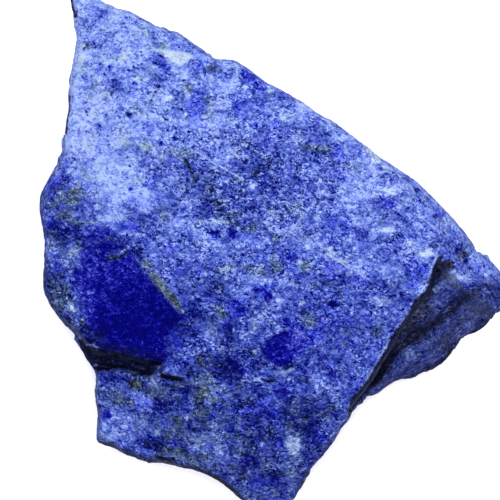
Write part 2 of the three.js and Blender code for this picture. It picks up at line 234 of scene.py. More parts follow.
# ---------------------------------------------------------------- the upper surface
def top_z(u, v, rim_z, edge, wu, wv):
    """Height over the plan. (wu, wv) is the same place with a natural wander, for the breaks inside the face."""
    face = CROWN_Z - FALL_U * ((u - CROWN_U) / CROWN_REACH) ** 2 - FALL_V * ((v - CROWN_V) / CROWN_REACH) ** 2
    face -= FOOT_FALL * smooth(390, 530, v) + 2.2 * smooth(110, 10, v + 0.4 * u - 30)
    face += swell(u, v) * smooth(0, 22, edge)
    strip = inside(wu, wv, STRIP)
    face -= 0.16 * np.maximum(0, strip) + 0.9 * smooth(0, 12, strip)
    dish = inside(wu, wv, DISH)
    by_brink = smooth(34, 8, to_line(wu, wv, BRINK)[0])
    face -= DISH_DEPTH * smooth(-6, 26, dish) + 0.55 * smooth(-1.5, 2.5, dish) * by_brink
    knob = np.hypot((u - 60) / 25, (v - 207) / 31)
    face += KNOB_HEIGHT * np.exp(-knob * knob * 1.2) - 0.8 * np.exp(-(((knob - 1.35) / 0.35) ** 2))
    d, _, side = to_line(wu, wv, STEP_LINE)
    below = d * side
    face -= STEP_DEPTH * smooth(215, 100, u) * smooth(-2, 4, below) * smooth(190, 20, below)
    d, run, _ = to_line(wu, wv, TRENCH)
    face -= TRENCH_DEPTH * smooth(11.5 - 4.5 * run, 4.5, d)
    roll = np.clip(1 - edge / EDGE_ROUND, 0, 1)
    face -= EDGE_DROP * roll * roll
    # the recess on the right
    recess = inside(u, v, RECESS)
    to_ridge, down, _ = to_line(u, v, RIDGE)
    q = to_ridge / (to_ridge + edge + 1e-9)
    foot = lerp(LEDGE_HIGH, LEDGE_LOW, down)
    low = foot - (foot - rim_z) * q ** 1.2
    d, run, _ = to_line(wu, wv, CREVICE)
    low -= CREVICE_DEPTH * np.exp(-((d / 3.6) ** 2))
    low += 2.6 * smooth(0.30, 0.60, q) * (1 - smooth(0.70, 1, q)) * smooth(0, 0.15, run)
    low += 0.45 * np.sin(u / 7.3 + v / 9.1) * np.cos(v / 6.7 - u / 11.3) * smooth(0, 10, edge)
    low -= POCKET_DEPTH * smooth(-1, 4, inside(wu, wv, POCKET))
    brow = to_line(u, v, BROW)[0]
    share = smooth(-0.5, RIDGE_FOOT - 1, recess) * smooth(1, 17, brow - 0.3 * to_ridge)
    return np.where(recess < -0.5, face, np.minimum(face, lerp(face, low, share))), recess, dish


# ---------------------------------------------------------------- the mesh
N = 140
KEY = round(0.76 * N)
RIM = 6 * N


def chart_xyz(u, v, z):
    return np.stack([(u - CENTRE_U) * UNIT, (CENTRE_V - v) * UNIT, z], 1)


def build():
    rim = resample(OUTLINE, RIM, True)
    ruv = chart_xyz(rim[:, 0], rim[:, 1], rim[:, 2] * 0)
    # the brink wanders a little between its drawn corners
    nxt, prv = np.roll(rim, -1, axis=0), np.roll(rim, 1, axis=0)
    out = np.stack([(nxt - prv)[:, 1], -(nxt - prv)[:, 0]], 1)
    out /= np.linalg.norm(out, axis=1)[:, None]
    wob = 0.9 * fbm(ruv, 2.6, 3, 61) + 0.35 * noise(ruv, 0.7, 67)
    rim[:, :2] += out * wob[:, None]

    du, dv = rim[:, 0] - CENTRE_U, rim[:, 1] - CENTRE_V
    met = np.full(RIM, np.nan)
    r = np.asarray(RIDGE, float)
    for i in range(len(r) - 1):
        ax, ay = r[i]
        ex, ey = r[i + 1] - r[i]
        det = ex * dv - ey * du
        px, py = ax - CENTRE_U, ay - CENTRE_V
        t = (ex * py - ey * px) / det
        s = (du * py - dv * px) / det
        m = (t > 0) & (t <= 1.05) & (s >= 0) & (s <= 1) & np.isnan(met)
        met = np.where(m, np.minimum(t, 0.985), met)
    on = ~np.isnan(met)
    key = np.where(on, met, KEY / N)
    idx = np.where(on)[0]
    span = RIM * 15 // 126
    for i in np.where(~on)[0]:
        gap = np.abs(((idx - i + RIM // 2) % RIM) - RIM // 2)
        j = gap.argmin()
        if gap[j] < span:
            key[i] = lerp(met[idx[j]], KEY / N, smooth(0, span, gap[j]))
    table = np.column_stack([rim, key, on.astype(float)])

    us, vs, rz, ring_of, share = [[CENTRE_U]], [[CENTRE_V]], [[30.0]], [[0]], [[0.0]]
    for k in range(1, N + 1):
        x = np.arange(6 * k) / (6 * k) * RIM
        i = np.floor(x).astype(int) % RIM
        f = (x - np.floor(x))[:, None]
        row = table[i] + (table[(i + 1) % RIM] - table[i]) * f
        reach = np.hypot(row[:, 0] - CENTRE_U, row[:, 1] - CENTRE_V)
        kr = row[:, 3]
        foot = lerp(kr + (1 - kr) / (N - KEY), np.minimum(kr + RIDGE_FOOT / reach, kr + 0.5 * (1 - kr)), row[:, 4])
        if k <= KEY:
            rho = kr * k / KEY
        else:
            # six short rings carry the wall under the ridge
            m = k - KEY
            a = 6
            rho = lerp(kr, foot, m / a) if m <= a else lerp(foot, 1.0, (m - a) / (N - KEY - a))
            soft = lerp(kr, 1.0, m / (N - KEY))
            rho = lerp(soft, rho, row[:, 4])
        us.append(lerp(CENTRE_U, row[:, 0], rho))
        vs.append(lerp(CENTRE_V, row[:, 1], rho))
        rz.append(row[:, 2])
        ring_of.append(np.full(6 * k, k))
        share.append(rho)
    u, v, rz = np.concatenate(us), np.concatenate(vs), np.concatenate(rz)
    ring_of = np.concatenate(ring_of)
    edge = to_line(u, v, rim[::4], True)[0]
    edge[ring_of == N] = 0.0
    flat = chart_xyz(u, v, u * 0)
    keep = smooth(0, 10, edge)
    wu = u + keep * (2.2 * fbm(flat, 2.2, 2, 3) + 1.0 * noise(flat, 0.8, 9))
    wv = v + keep * (2.2 * fbm(flat, 2.2, 2, 5) + 1.0 * noise(flat, 0.8, 13))
    z, recess, dish = top_z(u, v, rz, edge, wu, wv)
    top = chart_xyz(u, v, z)

    start = [0] + [1 + 3 * k * (k + 1) for k in range(N + 1)]   # start[k] is ring k's first point
    start = [0] + [1 + 3 * (k - 1) * k for k in range(1, N + 1)]
    faces = []
    for i in range(6):
        faces.append(np.array([[0, 1 + (i + 1) % 6, 1 + i]]))
    for k in range(1, N):
        a0, b0, na, nb = start[k], start[k + 1], 6 * k, 6 * (k + 1)
        side = np.repeat(np.arange(6), k + 1)
        i = np.tile(np.arange(k + 1), 6)
        pa = a0 + (side * k + i) % na
        pb = b0 + (side * (k + 1) + i) % nb
        pc = b0 + (side * (k + 1) + i + 1) % nb
        faces.append(np.stack([pa, pc, pb], 1))
        m = i < k
        pd = a0 + (side * k + i + 1) % na
        faces.append(np.stack([pa, pd, pc], 1)[m])

    # flanks
    rim_ids = start[N] + np.arange(RIM)
    rim_top = top[rim_ids]
    ru, rv, rimz = u[rim_ids], v[rim_ids], z[rim_ids]
    FINE, WALL = 5, 60

    def flank(sel, t):
        pu, pv, pz = ru[sel], rv[sel], rimz[sel]
        bu, bv, bz = ray_out(pu, pv, BELT).T
        fu, fv = ray_out(pu, pv, BASE).T
        belt = np.minimum(bz, pz - 4)
        if t <= 0.5:
            s = t * 2
            return lerp(pu, bu, s ** 1.2), lerp(pv, bv, s ** 1.2), lerp(pz, belt, s)
        s = t * 2 - 1
        return lerp(bu, fu, s), lerp(bv, fv, s), lerp(belt, 0, s)

    every = np.arange(RIM)
    cuts = []
    sample = [flank(every, j / 10) for j in range(2, 9)]
    for nx, ny, nz, bite in CUTS:
        far = max(((nx * (a - CENTRE_U) - ny * (b - CENTRE_V)) * UNIT + nz * c).max() for a, b, c in sample)
        cuts.append((nx, ny, nz, far - bite))

    def wall_ring(sel, t):
        a, b, c = flank(sel, t)
        for nx, ny, nz, far in cuts:
            over = np.maximum(0, (nx * (a - CENTRE_U) - ny * (b - CENTRE_V)) * UNIT + nz * c - far)
            m = over / (nx * nx + ny * ny) / UNIT * smooth(0, 0.2, t) * smooth(1, 0.8, t)
            a, b = a - nx * m, b + ny * m
        rough = (0.02 * np.sin(a / 9 + c * 0.9) + 0.016 * np.cos(b / 11 - c * 0.7)) * math.sin(math.pi * t)
        return chart_xyz(lerp(a, CENTRE_U, rough), lerp(b, CENTRE_V, rough), c)

    blocks, count = [top], len(top)
    above = rim_ids
    half = every[::2]
    down = np.zeros(len(top))
    downs = [down]
    for j in range(1, FINE + WALL + 1):
        t = j / (FINE * 0.5 + WALL) - 0.5 * min(j, FINE) / (FINE * 0.5 + WALL)
        sel = every if j <= FINE else half
        ring = wall_ring(sel, t)
        ids = count + np.arange(len(sel))
        blocks.append(ring)
        downs.append(np.full(len(sel), t))
        count += len(sel)
        if len(ids) == len(above):
            n_a, n_r = np.roll(above, -1), np.roll(ids, -1)
            faces.append(np.stack([above, n_a, ids], 1))
            faces.append(np.stack([n_a, n_r, ids], 1))
        else:
            a0, a1, a2 = above[::2], above[1::2], np.roll(above[::2], -1)
            n_r = np.roll(ids, -1)
            faces += [np.stack([a0, a1, ids], 1), np.stack([a1, n_r, ids], 1), np.stack([a1, a2, n_r], 1)]
        above = ids
    # resting face: rings that shrink to its middle
    n_in = 22
    edge_ring = blocks[-1]
    mid = np.array([0.0, 0.0, 0.0])
    while n_in > 0:
        want = len(above) // 2 if len(above) % 2 == 0 and len(above) > 110 else len(above)
        share_in = n_in / 23
        src = edge_ring[:: RIM // 2 // want]
        ring = mid + (src - mid) * share_in
        ring[:, 2] = 0
        ids = count + np.arange(want)
        blocks.append(ring)
        downs.append(np.full(want, 2.0))
        count += want
        if want == len(above):
            n_a, n_r = np.roll(above, -1), np.roll(ids, -1)
            faces.append(np.stack([above, n_a, ids], 1))
            faces.append(np.stack([n_a, n_r, ids], 1))
        else:
            a0, a1, a2 = above[::2], above[1::2], np.roll(above[::2], -1)
            n_r = np.roll(ids, -1)
            faces += [np.stack([a0, a1, ids], 1), np.stack([a1, n_r, ids], 1), np.stack([a1, a2, n_r], 1)]
        above = ids
        n_in -= 1
    blocks.append(mid[None])
    downs.append([2.0])
    faces.append(np.stack([above, np.roll(above, -1), np.full(len(above), count)], 1))
    pts = np.concatenate(blocks)
    tri = np.concatenate(faces)
    down = np.concatenate(downs)
    info = dict(u=u, v=v, edge=edge, recess=recess, dish=dish, wu=wu, wv=wv, n_top=len(top), down=down, ring=ring_of)
    return pts, tri, info


def normals(pts, tri):
    a, b, c = pts[tri[:, 0]], pts[tri[:, 1]], pts[tri[:, 2]]
    fn = np.cross(b - a, c - a)
    out = np.zeros_like(pts)
    for k in range(3):
        for m in range(3):
            out[:, m] += np.bincount(tri[:, k], fn[:, m], len(pts))
    return out / np.maximum(1e-12, np.linalg.norm(out, axis=1))[:, None]


pts, tri, info = build()
print("stone mesh", len(pts), "points", len(tri), "triangles")

# the CAD solid's origin is the middle of its box: the same outline, sampled as there
coarse = resample(OUTLINE, 126, False)
SHIFT = np.array([((coarse[:, 0].min() + coarse[:, 0].max()) / 2 - CENTRE_U) * UNIT,
                  (CENTRE_V - (coarse[:, 1].min() + coarse[:, 1].max()) / 2) * UNIT, 0.0])

n_top = info["n_top"]
U = (pts[:, 0] / UNIT) + CENTRE_U
V = CENTRE_V - pts[:, 1] / UNIT
is_top = np.arange(len(pts)) < n_top
edge_all = np.zeros(len(pts))
edge_all[:n_top] = info["edge"]
recess_all = np.full(len(pts), -99.0)
recess_all[:n_top] = info["recess"]
down = info["down"]

# ---- relief
nrm = normals(pts, tri)
flank = smooth(0.0, 0.12, down) * (down <= 1.0)
rough_zone = np.clip(np.maximum(flank, smooth(0, 8, recess_all)), 0, 1)
ledge = smooth(0, 8, np.where(is_top, (V - (352 + 0.27 * (U - 60))), -9)) * smooth(230, 120, U) * is_top
face_zone = 1 - rough_zone
disp = 0.20 * fbm(pts, 7.0, 3, 21) + 0.13 * fbm(pts, 2.4, 3, 31) + 0.055 * fbm(pts, 0.9, 2, 41)
calm_side = smooth(340, 385, U) * smooth(300, 335, V)
disp += rough_zone * (0.75 * fbm(pts, 8.0, 3, 51) + (1 - 0.6 * calm_side) * (0.55 * facets(pts, 4.2, 2, 0.30) + 0.35 * facets(pts + 7.7, 1.9, 4, 0.34))
                      + 0.16 * fbm(pts, 1.6, 3, 57))
disp += 0.36 * np.exp(-((U - 450) ** 2 + (V - 352) ** 2) / 700.0) * np.maximum(flank, smooth(4, 0, edge_all) * is_top)
disp += face_zone * ledge * (0.18 * facets(pts, 2.6, 6, 0.35) + 0.12 * fbm(pts, 1.5, 3, 77))
disp *= np.where(down >= 1.0, 0.0, 1.0)
pts2 = pts + nrm * disp[:, None]
pts2[:, 2] = np.where(down > 1.0, 0.0, np.maximum(pts2[:, 2], 0.0))

# ---- cracks, slits and pits on the broad face: line, half width, depth
CRACKS = [
    ([(80, 14), (82, 24), (86, 30), (91, 32)], 1.3, 0.35),
    ([(158, 86), (152, 96), (149, 106), (147, 118)], 1.2, 0.30),
    ([(180, 154), (184, 160), (190, 167), (194, 176), (198, 184)], 1.5, 0.55),
    ([(150, 60), (154, 72), (158, 84)], 1.3, 0.30),
    ([(153, 34), (156, 44), (160, 52)], 1.2, 0.25),
    ([(203, 265), (209, 269), (216, 272), (228, 277)], 1.4, 0.45),
    ([(97, 389), (104, 395), (111, 401), (118, 408), (127, 416)], 1.5, 0.55),
    ([(128, 383), (134, 387), (141, 391), (150, 393)], 1.5, 0.55),
    ([(163, 375), (170, 377.5), (178, 379.5), (185, 381)], 2.2, 1.3),
    ([(185, 381), (196, 386), (208, 392), (216, 401)], 1.4, 0.55),
    ([(216, 395), (228, 392), (240, 387)], 1.2, 0.35),
    ([(130, 413), (136, 414), (144, 413)], 1.3, 0.40),
    ([(188, 419), (196, 422), (208, 424)], 1.6, 0.60),
    ([(262, 381), (268, 381), (274, 381), (279, 380)], 1.7, 0.95),
    ([(282, 369), (290, 367), (297, 361)], 1.3, 0.45),
    ([(300, 378), (306, 382), (312, 383)], 1.4, 0.55),
    ([(262, 262), (272, 266), (284, 268)], 1.1, 0.25),
    ([(112, 250), (116, 255), (121, 256), (126, 252)], 1.4, 0.45),
]
m = is_top
uu, vv = U[m] + 0.9 * noise(pts[m], 0.8, 91), V[m] + 0.9 * noise(pts[m], 0.8, 93)
cut = np.zeros(m.sum())
for line, half, depth in CRACKS:
    d, run, _ = to_line(uu, vv, line)
    taper = smooth(0, 0.18, run) * smooth(1, 0.82, run) * 0.8 + 0.2
    cut = np.maximum(cut, 0.75 * depth * taper * np.exp(-((d / (0.85 * half)) ** 2)))
pts2[:n_top, 2] -= cut
CRACK = np.zeros(len(pts))
CRACK[:n_top] = np.clip(cut / 0.6, 0, 1)

pts2 -= SHIFT
mesh = bpy.data.meshes.new("lapis_rock")
mesh.vertices.add(len(pts2))
mesh.vertices.foreach_set("co", (pts2 / 1000.0).astype(np.float32).ravel())
mesh.loops.add(tri.size)
mesh.loops.foreach_set("vertex_index", tri.astype(np.int32).ravel())
mesh.polygons.add(len(tri))
mesh.polygons.foreach_set("loop_start", (np.arange(len(tri)) * 3).astype(np.int32))
mesh.polygons.foreach_set("loop_total", np.full(len(tri), 3, np.int32))
mesh.polygons.foreach_set("use_smooth", np.ones(len(tri), bool))
mesh.update(calc_edges=True)
mesh.validate()

# ---------------------------------------------------------------- what colour lies where
P = pts
wa = 4.6 * fbm(P, 3.0, 4, 101, 0.65)
wb = 4.6 * fbm(P, 3.0, 4, 103, 0.65)
fa = 1.2 * noise(P, 0.55, 105) + 0.8 * noise(P, 1.1, 106)
fb = 1.2 * noise(P, 0.55, 107) + 0.8 * noise(P, 1.1, 108)
CU, CV = U + wa + fa, V + wb + fb          # wandering chart, for clouds and patches
NU, NV = U + 0.7 * fa, V + 0.7 * fb        # nearly true chart, for crisp marks
ON_TOP = np.where(is_top, 1.0, smooth(0.42, 0.02, down))


def blob(u0, v0, ru, rv, ang=0.0, soft=1.0):
    """1 in the middle of an ellipse, falling to 0 past its edge; soft 0.2 is a crisp patch, 1 a cloud."""
    c, s = math.cos(math.radians(ang)), math.sin(math.radians(ang))
    x, y = (CU, CV) if max(ru, rv) > 6 else (NU, NV)
    du, dv = x - u0, y - v0
    r = np.hypot((du * c + dv * s) / ru, (-du * s + dv * c) / rv)
    return smooth(1 + soft * 0.6, 1 - soft * 0.8, r) * ON_TOP


def streak(line, half, soft=1.0, crisp=True):
    d, run, _ = to_line(NU if crisp else CU, NV if crisp else CV, line)
    return smooth(half * (1 + 0.8 * soft), half * (1 - 0.7 * soft), d) * ON_TOP


def patch(ring, soft=2.0, crisp=True):
    return smooth(-soft, soft, inside(NU if crisp else CU, NV if crisp else CV, ring)) * ON_TOP


one = np.ones(len(P))
light = 0.50 * one            # how pale the rock is, with painted highlight and painted shade added in places
grain = 1.0 * one             # contrast of its grains
speck = 0.22 * one            # dark specks
deep = 0.0 * one              # pure ultramarine
green = 0.21 * one            # grey green diopside
dark = 0.0 * one              # painted shadow: crevices and undercuts made near black
shade = 0.0 * one             # painted shade on sheltered rock, in the recess and along the rims
white = 0.0 * one             # calcite
vivid = 0.30 * one            # bright blue

# broad clouds: u, v, half width, half height, turn, change in paleness
CLOUDS = [
    (108, 85, 58, 95, -8, 0.22), (122, 190, 44, 38, 10, 0.20), (92, 138, 30, 30, 0, 0.10), (190, 110, 42, 60, 0, 0.08),
    (150, 40, 50, 26, 15, 0.08), (250, 95, 60, 25, 32, 0.08), (358, 188, 50, 42, 35, 0.13), (395, 240, 42, 38, 20, 0.05),
    (424, 212, 34, 40, 45, 0.03), (225, 120, 50, 42, 30, 0.05), (330, 252, 60, 22, 20, 0.05), (262, 190, 42, 36, 20, -0.05), (205, 195, 20, 34, 0, -0.05),
    (230, 405, 115, 46, 0, -0.10), (295, 438, 62, 48, 0, -0.11), (190, 442, 60, 32, 0, -0.06), (122, 428, 26, 18, 20, 0.08),
    (58, 203, 30, 36, 0, -0.09), (78, 237, 44, 13, 6, -0.17), (60, 300, 22, 44, 0, -0.13), (258, 486, 60, 22, 0, -0.10),
    (80, 128, 13, 42, 0, 0.13),
    (262, 362, 62, 20, 0, -0.13),
    (350, 332, 42, 42, 0, -0.05), (212, 322, 48, 44, 0, -0.13), (300, 340, 46, 30, 0, -0.07), (330, 395, 34, 26, 0, 0.00), (250, 195, 70, 60, 20, 0.02), (370, 300, 50, 60, 0, -0.02),
]
for u0, v0, ru, rv, ang, gain in CLOUDS:
    light += gain * blob(u0, v0, ru, rv, ang, 1.0)

# pale and dim patches of a few millimetres
PATCHES = [
    (87, 57, 9, 5, 0, 0.16, .7), (127, 54, 7, 7, 0, 0.16, .6), (115, 18, 6, 5, 0, 0.12, .8), (150, 118, 9, 5, 0, 0.14, .8),
    (190, 122, 9, 9, 0, 0.16, .8), (168, 98, 6, 5, 0, 0.20, .6), (180, 75, 9, 6, 20, 0.18, .7), (215, 122, 12, 9, 0, 0.17, .8),
    (222, 104, 9, 7, 0, 0.15, .8), (235, 83, 6, 5, 0, 0.12, .8), (283, 118, 4, 4, 0, 0.20, .6), (291, 140, 7, 5, 0, 0.14, .8),
    (303, 108, 8, 6, 30, 0.20, .7), (325, 121, 8, 5, 30, 0.16, .8), (213, 222, 13, 5, 0, 0.20, .7), (254, 186, 5, 4, 0, 0.25, .5),
    (207, 240, 12, 8, 30, 0.14, .9), (186, 252, 10, 8, 0, 0.08, .9), (317, 217, 5, 4, 0, 0.20, .6), (299, 222, 12, 4, -50, 0.18, .7),
    (365, 182, 17, 20, 30, 0.10, .9), (348, 201, 6, 5, 0, 0.12, .8), (390, 190, 15, 5, -5, 0.16, .7), (388, 230, 8, 5, 0, 0.22, .6),
    (412, 243, 9, 5, 40, 0.16, .6), (427, 254, 9, 5, 0, 0.22, .6), (318, 248, 16, 10, 20, 0.15, .9), (360, 265, 14, 8, 20, 0.13, .9),
    (380, 300, 13, 4, 8, 0.20, .7), (352, 300, 12, 9, 0, 0.06, .9), (243, 292, 7, 6, 0, 0.16, .8), (303, 303, 8, 5, 0, 0.18, .7),
    (280, 302, 5, 4, 0, 0.22, .6), (255, 280, 14, 5, 10, 0.16, .8), (282, 283, 16, 5, 10, 0.12, .8), (210, 338, 9, 10, 0, 0.16, .9),
    (246, 338, 9, 8, 0, 0.14, .9), (184, 354, 9, 9, 0, 0.20, .8), (176, 330, 8, 9, 0, -0.02, .9), (205, 386, 14, 13, 0, 0.16, .9),
    (357, 372, 15, 11, 0, -0.06, .9), (320, 378, 8, 8, 0, 0.20, .8), (340, 395, 10, 12, 0, 0.16, .9), (330, 425, 9, 18, -25, 0.10, .9),
    (268, 387, 8, 5, 0, 0.16, .7), (294, 440, 9, 18, 8, 0.22, .8), (283, 466, 9, 7, 0, 0.18, .8), (293, 480, 6, 12, 0, 0.16, .8),
    (221, 455, 8, 7, 0, 0.20, .9), (212, 432, 15, 12, 0, 0.14, .9), (195, 440, 11, 8, 0, 0.12, .9), (185, 419, 6, 4, 0, 0.08, .8),
    (150, 383, 8, 5, 20, 0.12, .9), (130, 425, 20, 13, 20, 0.08, .9), (108, 432, 10, 9, 0, 0.12, .9), (145, 402, 8, 7, 0, 0.06, .8),
    (75, 252, 10, 7, -10, 0.17, .8), (62, 264, 7, 10, 0, -0.13, .9), (72, 307, 5, 7, 0, 0.22, .6), (84, 320, 6, 8, -40, 0.10, .8),
    (88, 334, 13, 12, 35, -0.30, .9), (114, 255, 8, 5, 0, -0.08, .9), (250, 240, 16, 8, 20, 0.12, .9), (225, 250, 10, 7, 0, 0.10, .9), (150, 258, 8, 8, 30, 0.08, .9),
    (258, 322, 8, 5, 20, 0.14, .8), (240, 430, 8, 9, 0, 0.10, .9), (262, 445, 6, 4, 0, 0.18, .6), (320, 350, 8, 12, 10, 0.08, .9),
    (112, 182, 16, 18, 20, 0.10, .9), (140, 200, 12, 14, 0, 0.06, .9), (185, 205, 8, 9, 0, 0.16, .8), (82, 150, 14, 10, -30, 0.08, .9),
    # dim
    (96, 44, 10, 5, 0, -0.16, .8), (135, 72, 12, 8, 0, -0.10, .9), (120, 88, 12, 7, 0, -0.10, .9), (103, 12, 10, 6, 10, -0.12, .8),
    (160, 60, 6, 9, 0, -0.26, .7), (158, 82, 7, 6, 0, -0.20, .8),
    (108, 128, 14, 9, 10, -0.12, .9), (185, 156, 10, 6, 40, -0.06, .8), (202, 174, 10, 12, 0, -0.13, .8),
    (213, 68, 8, 6, 0, -0.20, .7), (236, 108, 6, 12, 10, -0.16, .7), (246, 76, 8, 8, 40, -0.18, .7), (200, 100, 9, 16, 0, -0.14, .8),
    (250, 210, 12, 7, 0, -0.22, .8), (265, 175, 16, 14, 0, -0.10, .9), (300, 185, 14, 12, 0, -0.08, .9), (315, 152, 14, 8, 0, -0.14, .8),
    (215, 203, 14, 12, 0, -0.12, .8), (265, 140, 14, 10, 0, -0.06, .9), (385, 204, 12, 7, 0, -0.20, .7), (405, 210, 6, 4, 0, -0.14, .7),
    (350, 232, 22, 8, 20, -0.08, .9), (395, 250, 9, 6, 0, -0.08, .8), (415, 268, 10, 7, 0, -0.10, .8), (386, 285, 16, 7, 10, -0.12, .8),
    (286, 256, 9, 9, 0, -0.20, .8), (335, 285, 14, 12, 0, -0.12, .9), (333, 303, 7, 4, 0, -0.26, .7), (213, 288, 13, 8, 0, -0.16, .8),
    (230, 335, 10, 12, 0, -0.12, .9), (235, 365, 16, 9, 0, -0.12, .9), (225, 375, 14, 8, 0, -0.12, .9), (330, 372, 9, 7, 0, -0.08, .8),
    (305, 428, 16, 14, 0, -0.16, .9), (312, 450, 12, 9, 0, -0.14, .8), (250, 462, 12, 10, 0, -0.20, .8), (272, 475, 10, 10, 0, -0.12, .9),
    (165, 408, 16, 9, 0, -0.14, .8), (155, 444, 14, 8, 0, -0.20, .8), (107, 415, 5, 5, 0, -0.26, .6), (120, 380, 22, 7, 10, -0.14, .8),
    (235, 405, 18, 8, 0, -0.10, .9), (150, 232, 12, 9, 0, -0.14, .8), (215, 234, 6, 5, 0, -0.30, .6), (232, 233, 5, 6, 0, -0.28, .6),
    (174, 226, 12, 10, 0, 0.12, .9), (240, 220, 8, 6, 0, -0.16, .8), (160, 170, 10, 8, 0, -0.14, .8), (195, 310, 10, 10, 0, -0.16, .8),
    (420, 290, 6, 8, 30, 0.06, .8), (466, 258, 5, 9, 0, -0.12, .8),
    (86, 6, 16, 11, 0, 0.14, .9), (108, 42, 10, 8, 20, -0.10, .9), (113, 84, 9, 10, 0, -0.11, .9), (176, 100, 9, 11, 0, -0.10, .9), (150, 165, 8, 11, 0, -0.07, .9), (138, 34, 10, 7, 20, 0.06, .9), (304, 304, 20, 18, 0, -0.13, .9), (294, 446, 8, 12, 8, 0.14, .8), (135, 386, 10, 5, 8, -0.12, .8), (347, 390, 10, 12, 0, -0.08, .8),
    (486, 266, 14, 8, 30, 0.09, .9), (468, 256, 9, 9, 30, 0.10, .8), (440, 232, 10, 12, 40, 0.08, .9), (112, 258, 7, 3.5, 10, -0.16, .7), (190, 168, 7, 9, 40, -0.06, .9),
    (136, 214, 13, 9, 0, -0.24, .9), (132, 224, 14, 6, 0, -0.12, .9),
    (155, 49, 8, 6, 0, -0.13, .9), (168, 36, 12, 5, 20, -0.12, .9),
    (266, 316, 8, 8, 0, 0.24, .9),
    (188, 392, 15, 10, 0, -0.16, .9),
    (185, 335, 14, 9, 0, -0.14, .9), (168, 361, 10, 12, 0, -0.14, .9), (463, 255, 6, 9, 0, -0.22, .9), (480, 258, 7, 6, 0, 0.14, .9),
    (64, 227, 24, 12, 4, -0.06, .9), (139, 249, 10, 8, 30, 0.10, .9), (493, 274, 9, 5, 0, 0.12, .9),
    (340, 136, 14, 8, 40, 0.13, .9), (72, 196, 12, 15, 0, 0.05, .9), (174, 57, 18, 6, 8, 0.15, .6), (70, 147, 8, 10, 0, 0.07, .9),
]
for u0, v0, ru, rv, ang, gain, soft in PATCHES:
    light += gain * blob(u0, v0, ru, rv, ang, soft)

# the lower and left parts are greyer
for u0, v0, ru, rv, ang, amount in [(200, 420, 110, 50, 5, .24), (290, 450, 50, 50, 0, .14), (64, 203, 26, 34, 0, .34), (70, 240, 40, 20, 0, .24), (60, 300, 26, 50, 0, .34),
                                    (215, 330, 60, 50, 0, .14), (240, 180, 60, 60, 0, .05), (200, 200, 30, 40, 0, .10), (255, 485, 60, 25, 0, .22), (350, 330, 40, 40, 0, .05), (205, 394, 38, 14, 0, .14), (210, 358, 9, 9, 0, .30), (56, 301, 9, 13, 0, .30), (185, 456, 34, 7, 8, .25), (66, 228, 22, 10, 0, -.18), (125, 90, 60, 90, -5, .09), (105, 190, 45, 45, 0, .08)]:
    green += amount * blob(u0, v0, ru, rv, ang, 1.0)

# bright pure blue
VIVIDS = [
    (174, 45, 7, 5, 0, .9), (163, 65, 6, 7, 0, .7), (112, 127, 14, 9, 0, .6), (198, 108, 12, 18, 0, .6), (236, 110, 6, 12, 8, .9),
    (247, 76, 8, 7, 40, .9), (261, 88, 7, 5, 20, .8), (262, 120, 14, 14, 0, .5), (339, 153, 6, 9, 0, .9), (132, 225, 9, 6, 20, .9),
    (190, 194, 11, 2.5, 0, .9), (232, 233, 5, 6, 0, .9), (213, 235, 5, 4, 0, .8), (200, 60, 8, 10, 0, .6), (385, 204, 12, 8, 0, .6),
    (415, 268, 12, 9, 0, .7), (350, 232, 20, 10, 20, .5), (240, 308, 11, 8, 0, .9), (297, 344, 11, 13, 0, 1.0), (292, 324, 12, 7, 0, .9),
    (310, 335, 12, 9, 0, .6), (281, 390, 11, 8, 0, .9), (252, 460, 12, 9, 0, .8), (280, 440, 8, 10, 0, .7), (256, 410, 12, 8, 0, .5),
    (185, 354, 10, 9, 0, .6), (176, 340, 12, 10, 0, .5), (145, 404, 9, 7, 0, .7), (107, 415, 5, 5, 0, .8), (190, 388, 9, 6, 0, .6),
    (60, 180, 16, 8, 10, .6), (88, 186, 9, 12, 0, .5), (60, 222, 22, 8, 6, .5), (98, 232, 20, 10, 8, .7), (56, 270, 8, 9, 0, .5),
    (86, 252, 12, 8, -10, .8), (160, 145, 10, 9, 0, .4), (415, 282, 8, 7, 0, .5), (286, 258, 9, 9, 0, .5), (330, 320, 12, 12, 0, .4),
    (370, 318, 9, 8, 0, .4), (262, 482, 14, 10, 0, .5), (220, 405, 14, 9, 0, .5), (262, 292, 11, 8, 0, .8), (150, 12, 6, 4, 0, .4),
    (437, 213, 9, 7, 0, .6), (480, 266, 10, 6, 30, .4), (318, 440, 10, 12, 0, .5), (272, 408, 10, 10, 0, .4),
]
for u0, v0, ru, rv, ang, amount in VIVIDS:
    vivid = np.maximum(vivid, 0.30 + amount * 0.75 * blob(u0, v0, ru, rv, ang, 0.8))

